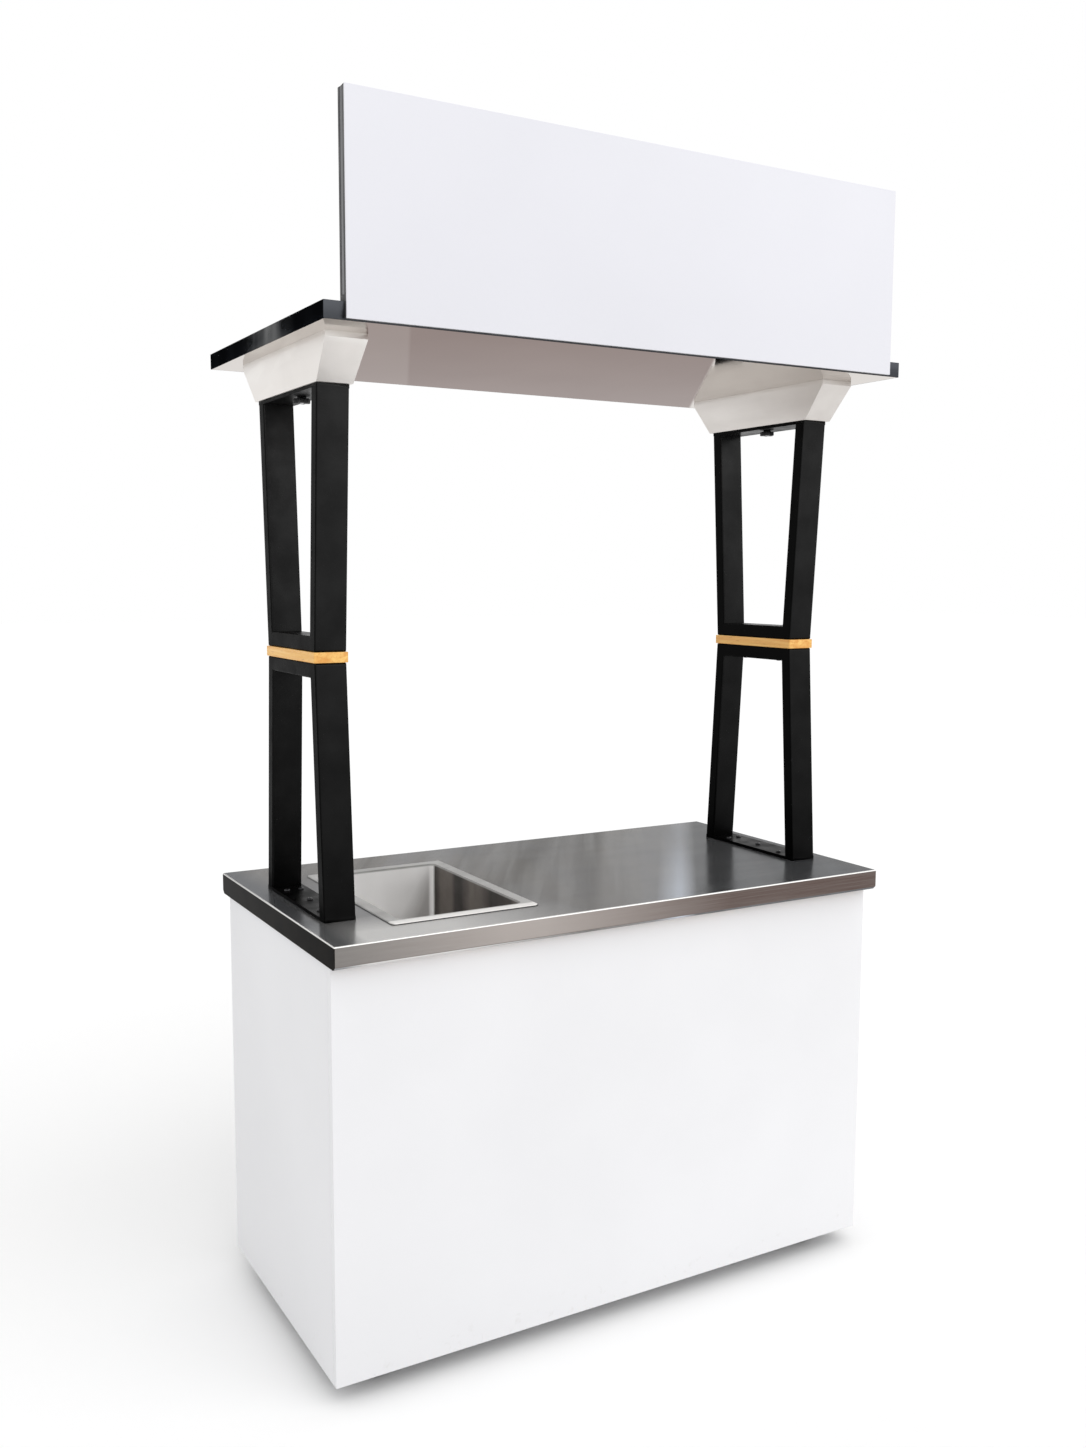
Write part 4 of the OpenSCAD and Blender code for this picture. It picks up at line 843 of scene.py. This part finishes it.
def waste_tank():
    """Moulded tank: rounded rims, two waist grooves and a ribbed screw collar. The rim and the
    groove are (inset, height) in millimetres."""
    low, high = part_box("waste_tank")
    top = high.z - TANK_NECK
    rim = ((10, 0), (4, 2), (1, 6), (0, 12))
    groove = ((0, -8), (3.5, -5), (3.5, 5), (0, 8))
    groove_shares = (0.34, 0.66)
    collar_r, bore_r, rib = 30.2 * MM, 24.6 * MM, 0.9 * MM
    collar_foot = top - 0.5 * MM
    collar = ((collar_foot, 0), (top + 2 * MM, rib), (top + 19 * MM, rib), (high.z, 0))
    steps = 4 * ROUND

    def section(inset, z):
        inset *= MM
        return round_rectangle(low.x + inset, high.x - inset, low.y + inset, high.y - inset,
                               TANK_CORNER, z)

    rings = [section(inset, low.z + z * MM) for inset, z in rim]
    for share in groove_shares:
        middle = low.z + (top - low.z) * share
        rings += [section(inset, middle + z * MM) for inset, z in groove]
    rings += [section(inset, top - z * MM) for inset, z in reversed(rim)]
    ribs = []
    for z, swing in collar:
        ring = []
        for k in range(steps):
            a = 2 * math.pi * k / steps
            ring.append(at_angle(collar_r + swing * math.cos(ROUND * a), a, z))
        ribs.append(ring)
    ribs += [circle(bore_r, z, steps) for z in (high.z, collar_foot)]
    place = Matrix.Translation(((low.x + high.x) / 2, (low.y + high.y) / 2, 0))
    solid("waste_tank_moulded", [loft(rings), placed(loft(ribs, loop=True), place)], TANK, "bar",
          ["waste_tank"], crease=50)


def bar_between(low, high):
    """Box between two corners: one ring swept upwards."""
    corners = ((low[0], low[1]), (high[0], low[1]), (high[0], high[1]), (low[0], high[1]))
    return loft([[Vector((x, y, z)) for x, y in corners] for z in (low[2], high[2])])


def sign_strips():
    """Lighter strips let into the groove round the sign's frame."""
    half, sunk, gap, foot = 5.2 * MM, 0.5 * MM, 0.1 * MM, 11.5 * MM
    middle = sum(p.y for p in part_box("sign_frame")) / 2
    front, rear = middle - half, middle + half
    parts = []
    for side in SIDES:
        left, right = sorted((side * (SIGN_HALF - SIGN_GROOVE), side * (SIGN_HALF - sunk)))
        parts.append(bar_between((left, front, CANOPY_TOP + foot),
                                 (right, rear, SIGN_TOP - SIGN_GROOVE - gap)))
    end = SIGN_HALF - sunk + gap
    parts.append(bar_between((-end, front, SIGN_TOP - SIGN_GROOVE), (end, rear, SIGN_TOP - sunk)))
    solid("sign_strips", parts, STRIP, "bar")


for side in ("left", "right"):
    clamp_knob(side)
    door_knob(side)
hinge_screws()
bracket_screws()
seal_bead_shadow_line()
waste_tank()
sign_strips()


# CAD nodes with rounded edges, by width in millimetres, and with smooth round faces

EASED = (
    (1.2, WHITE, ("front_panel", "left_side_panel", "right_side_panel", "left_door", "right_door")),
    (0.8, WHITE, ("cabinet_floor", "centre_divider", "rear_rail", "storage_shelf", "shelf_cleats")),
    (1.0, CAPITAL, ("left_capital", "right_capital")),
    (1.4, WOOD, ("left_spacer", "right_spacer")),
    (0.8, GRIP, ("rear_left_pedal", "rear_right_pedal")),
    (0.4, BOARD, ("canopy_board",)),
    (0.5, TRIM, ("canopy_trims",)),
    (0.7, SIGN, ("sign_face",)),
    (0.6, SIGN_EDGE, ("sign_frame",)),
    (0.6, CHASSIS, ("sign_back",)),
    (0.5, CHASSIS, ("sign_brackets",)),
)
SMOOTHED = (
    (STEEL, ("worktop_sheet",)),
    (CORE, ("worktop_core",)),
    (SINK, ("sink_bowl", "sink_drain", "strainer")),
    (TANK, ("drain_pipe",)),
    (CHASSIS, ("chassis_frame",)),
    (SOFFIT, ("canopy_soffit",)),
    (ZINC, ("caster_plates",)),
    (HINGE, ("hinge_frame_leaves", "hinge_pins", "left_door_leaves", "right_door_leaves")),
)
for width, material, names in EASED:
    for node in names:
        eased(node, width * MM, material)
for material, names in SMOOTHED:
    for node in names:
        smoothed(node, material)
for side in ("left", "right"):
    for level in ("lower", "upper"):
        bent_frame(f"{side}_{level}_frame", BLACK)
    for end in ("front", "rear"):
        smoothed(f"{end}_{side}_fork", ZINC)
        smoothed(f"{end}_{side}_hub", NYLON)
        smoothed(f"{end}_{side}_tyre", RUBBER)


# Floor, light and camera

PURE_WHITE = (1, 1, 1, 1)
FLOOR_GREY = (0.8, 0.8, 0.8, 1)
SKY = 0.87
SHOWN_SKY = 1.0
FLOOR = 40.0
KEY_TOWARDS = (-0.25, 0.72, -0.65)
KEY_STRENGTH = 0.84
KEY_SPREAD = math.radians(70)
YAW, PITCH, ROLL = -0.52181, -0.1122, 0.00392
CAMERA_AT = (-1.48132, -2.51842, 1.56266)
LENS = 33.109
SENSOR = 36
FAR = 200


def shown_rays(tree):
    """1 where the camera, a gloss or a clear material looks."""
    path = tree.nodes.new("ShaderNodeLightPath").outputs
    total = path["Is Camera Ray"]
    for name in ("Is Glossy Ray", "Is Transmission Ray"):
        node = tree.nodes.new("ShaderNodeMath")
        node.operation = "MAXIMUM"
        tree.links.new(total, node.inputs[0])
        tree.links.new(path[name], node.inputs[1])
        total = node.outputs[0]
    return total


def studio_world():
    """White sky that is a little dimmer as light than as it is seen."""
    scene.world = bpy.data.worlds.new("studio")
    scene.world.use_nodes = True
    tree = scene.world.node_tree
    lit = tree.nodes["Background"]
    seen = tree.nodes.new("ShaderNodeBackground")
    choice = tree.nodes.new("ShaderNodeMixShader")
    tree.links.new(shown_rays(tree), choice.inputs[0])
    for k, (sky, strength) in enumerate(((lit, SKY), (seen, SHOWN_SKY)), 1):
        sky.inputs["Color"].default_value = PURE_WHITE
        sky.inputs["Strength"].default_value = strength
        tree.links.new(sky.outputs[0], choice.inputs[k])
    tree.links.new(choice.outputs[0], tree.nodes["World Output"].inputs["Surface"])


def studio_floor():
    """Plain pale floor that shows as white where no shadow falls."""
    mesh = bpy.data.meshes.new("floor")
    corners = [(-FLOOR, -FLOOR, 0), (FLOOR, -FLOOR, 0), (FLOOR, FLOOR, 0), (-FLOOR, FLOOR, 0)]
    mesh.from_pydata(corners, [], [(0, 1, 2, 3)])
    ground = Surface("floor_white", specular=0.0, roughness=1.0)
    ground.colour(ground.mix(shown_rays(ground.tree), FLOOR_GREY, PURE_WHITE))
    mesh.materials.append(ground.mat)
    floor = bpy.data.objects.new("floor", mesh)
    scene.collection.objects.link(floor)


def key_light():
    """Broad, soft sun from the front right, above."""
    data = bpy.data.lights.new("key", "SUN")
    data.energy = KEY_STRENGTH
    data.angle = KEY_SPREAD
    lamp = bpy.data.objects.new("key", data)
    lamp.rotation_euler = Vector(KEY_TOWARDS).to_track_quat("-Z", "Y").to_euler()
    scene.collection.objects.link(lamp)


def photo_camera():
    """Camera of the photograph, as fitted to its edges."""
    ahead = Vector((-math.sin(YAW) * math.cos(PITCH), math.cos(YAW) * math.cos(PITCH),
                    math.sin(PITCH)))
    level = Vector((math.cos(YAW), math.sin(YAW), 0))
    above = level.cross(ahead)
    right = math.cos(ROLL) * level + math.sin(ROLL) * above
    upward = -math.sin(ROLL) * level + math.cos(ROLL) * above
    data = bpy.data.cameras.new("camera")
    data.sensor_fit = "VERTICAL"
    data.sensor_height = SENSOR
    data.lens = LENS
    data.clip_end = FAR
    camera = bpy.data.objects.new("camera", data)
    turn = Matrix((right, upward, -ahead)).transposed().to_4x4()
    camera.matrix_world = Matrix.Translation(CAMERA_AT) @ turn
    scene.collection.objects.link(camera)
    scene.camera = camera


studio_world()
studio_floor()
key_light()
photo_camera()
scene.view_settings.view_transform = "Standard"
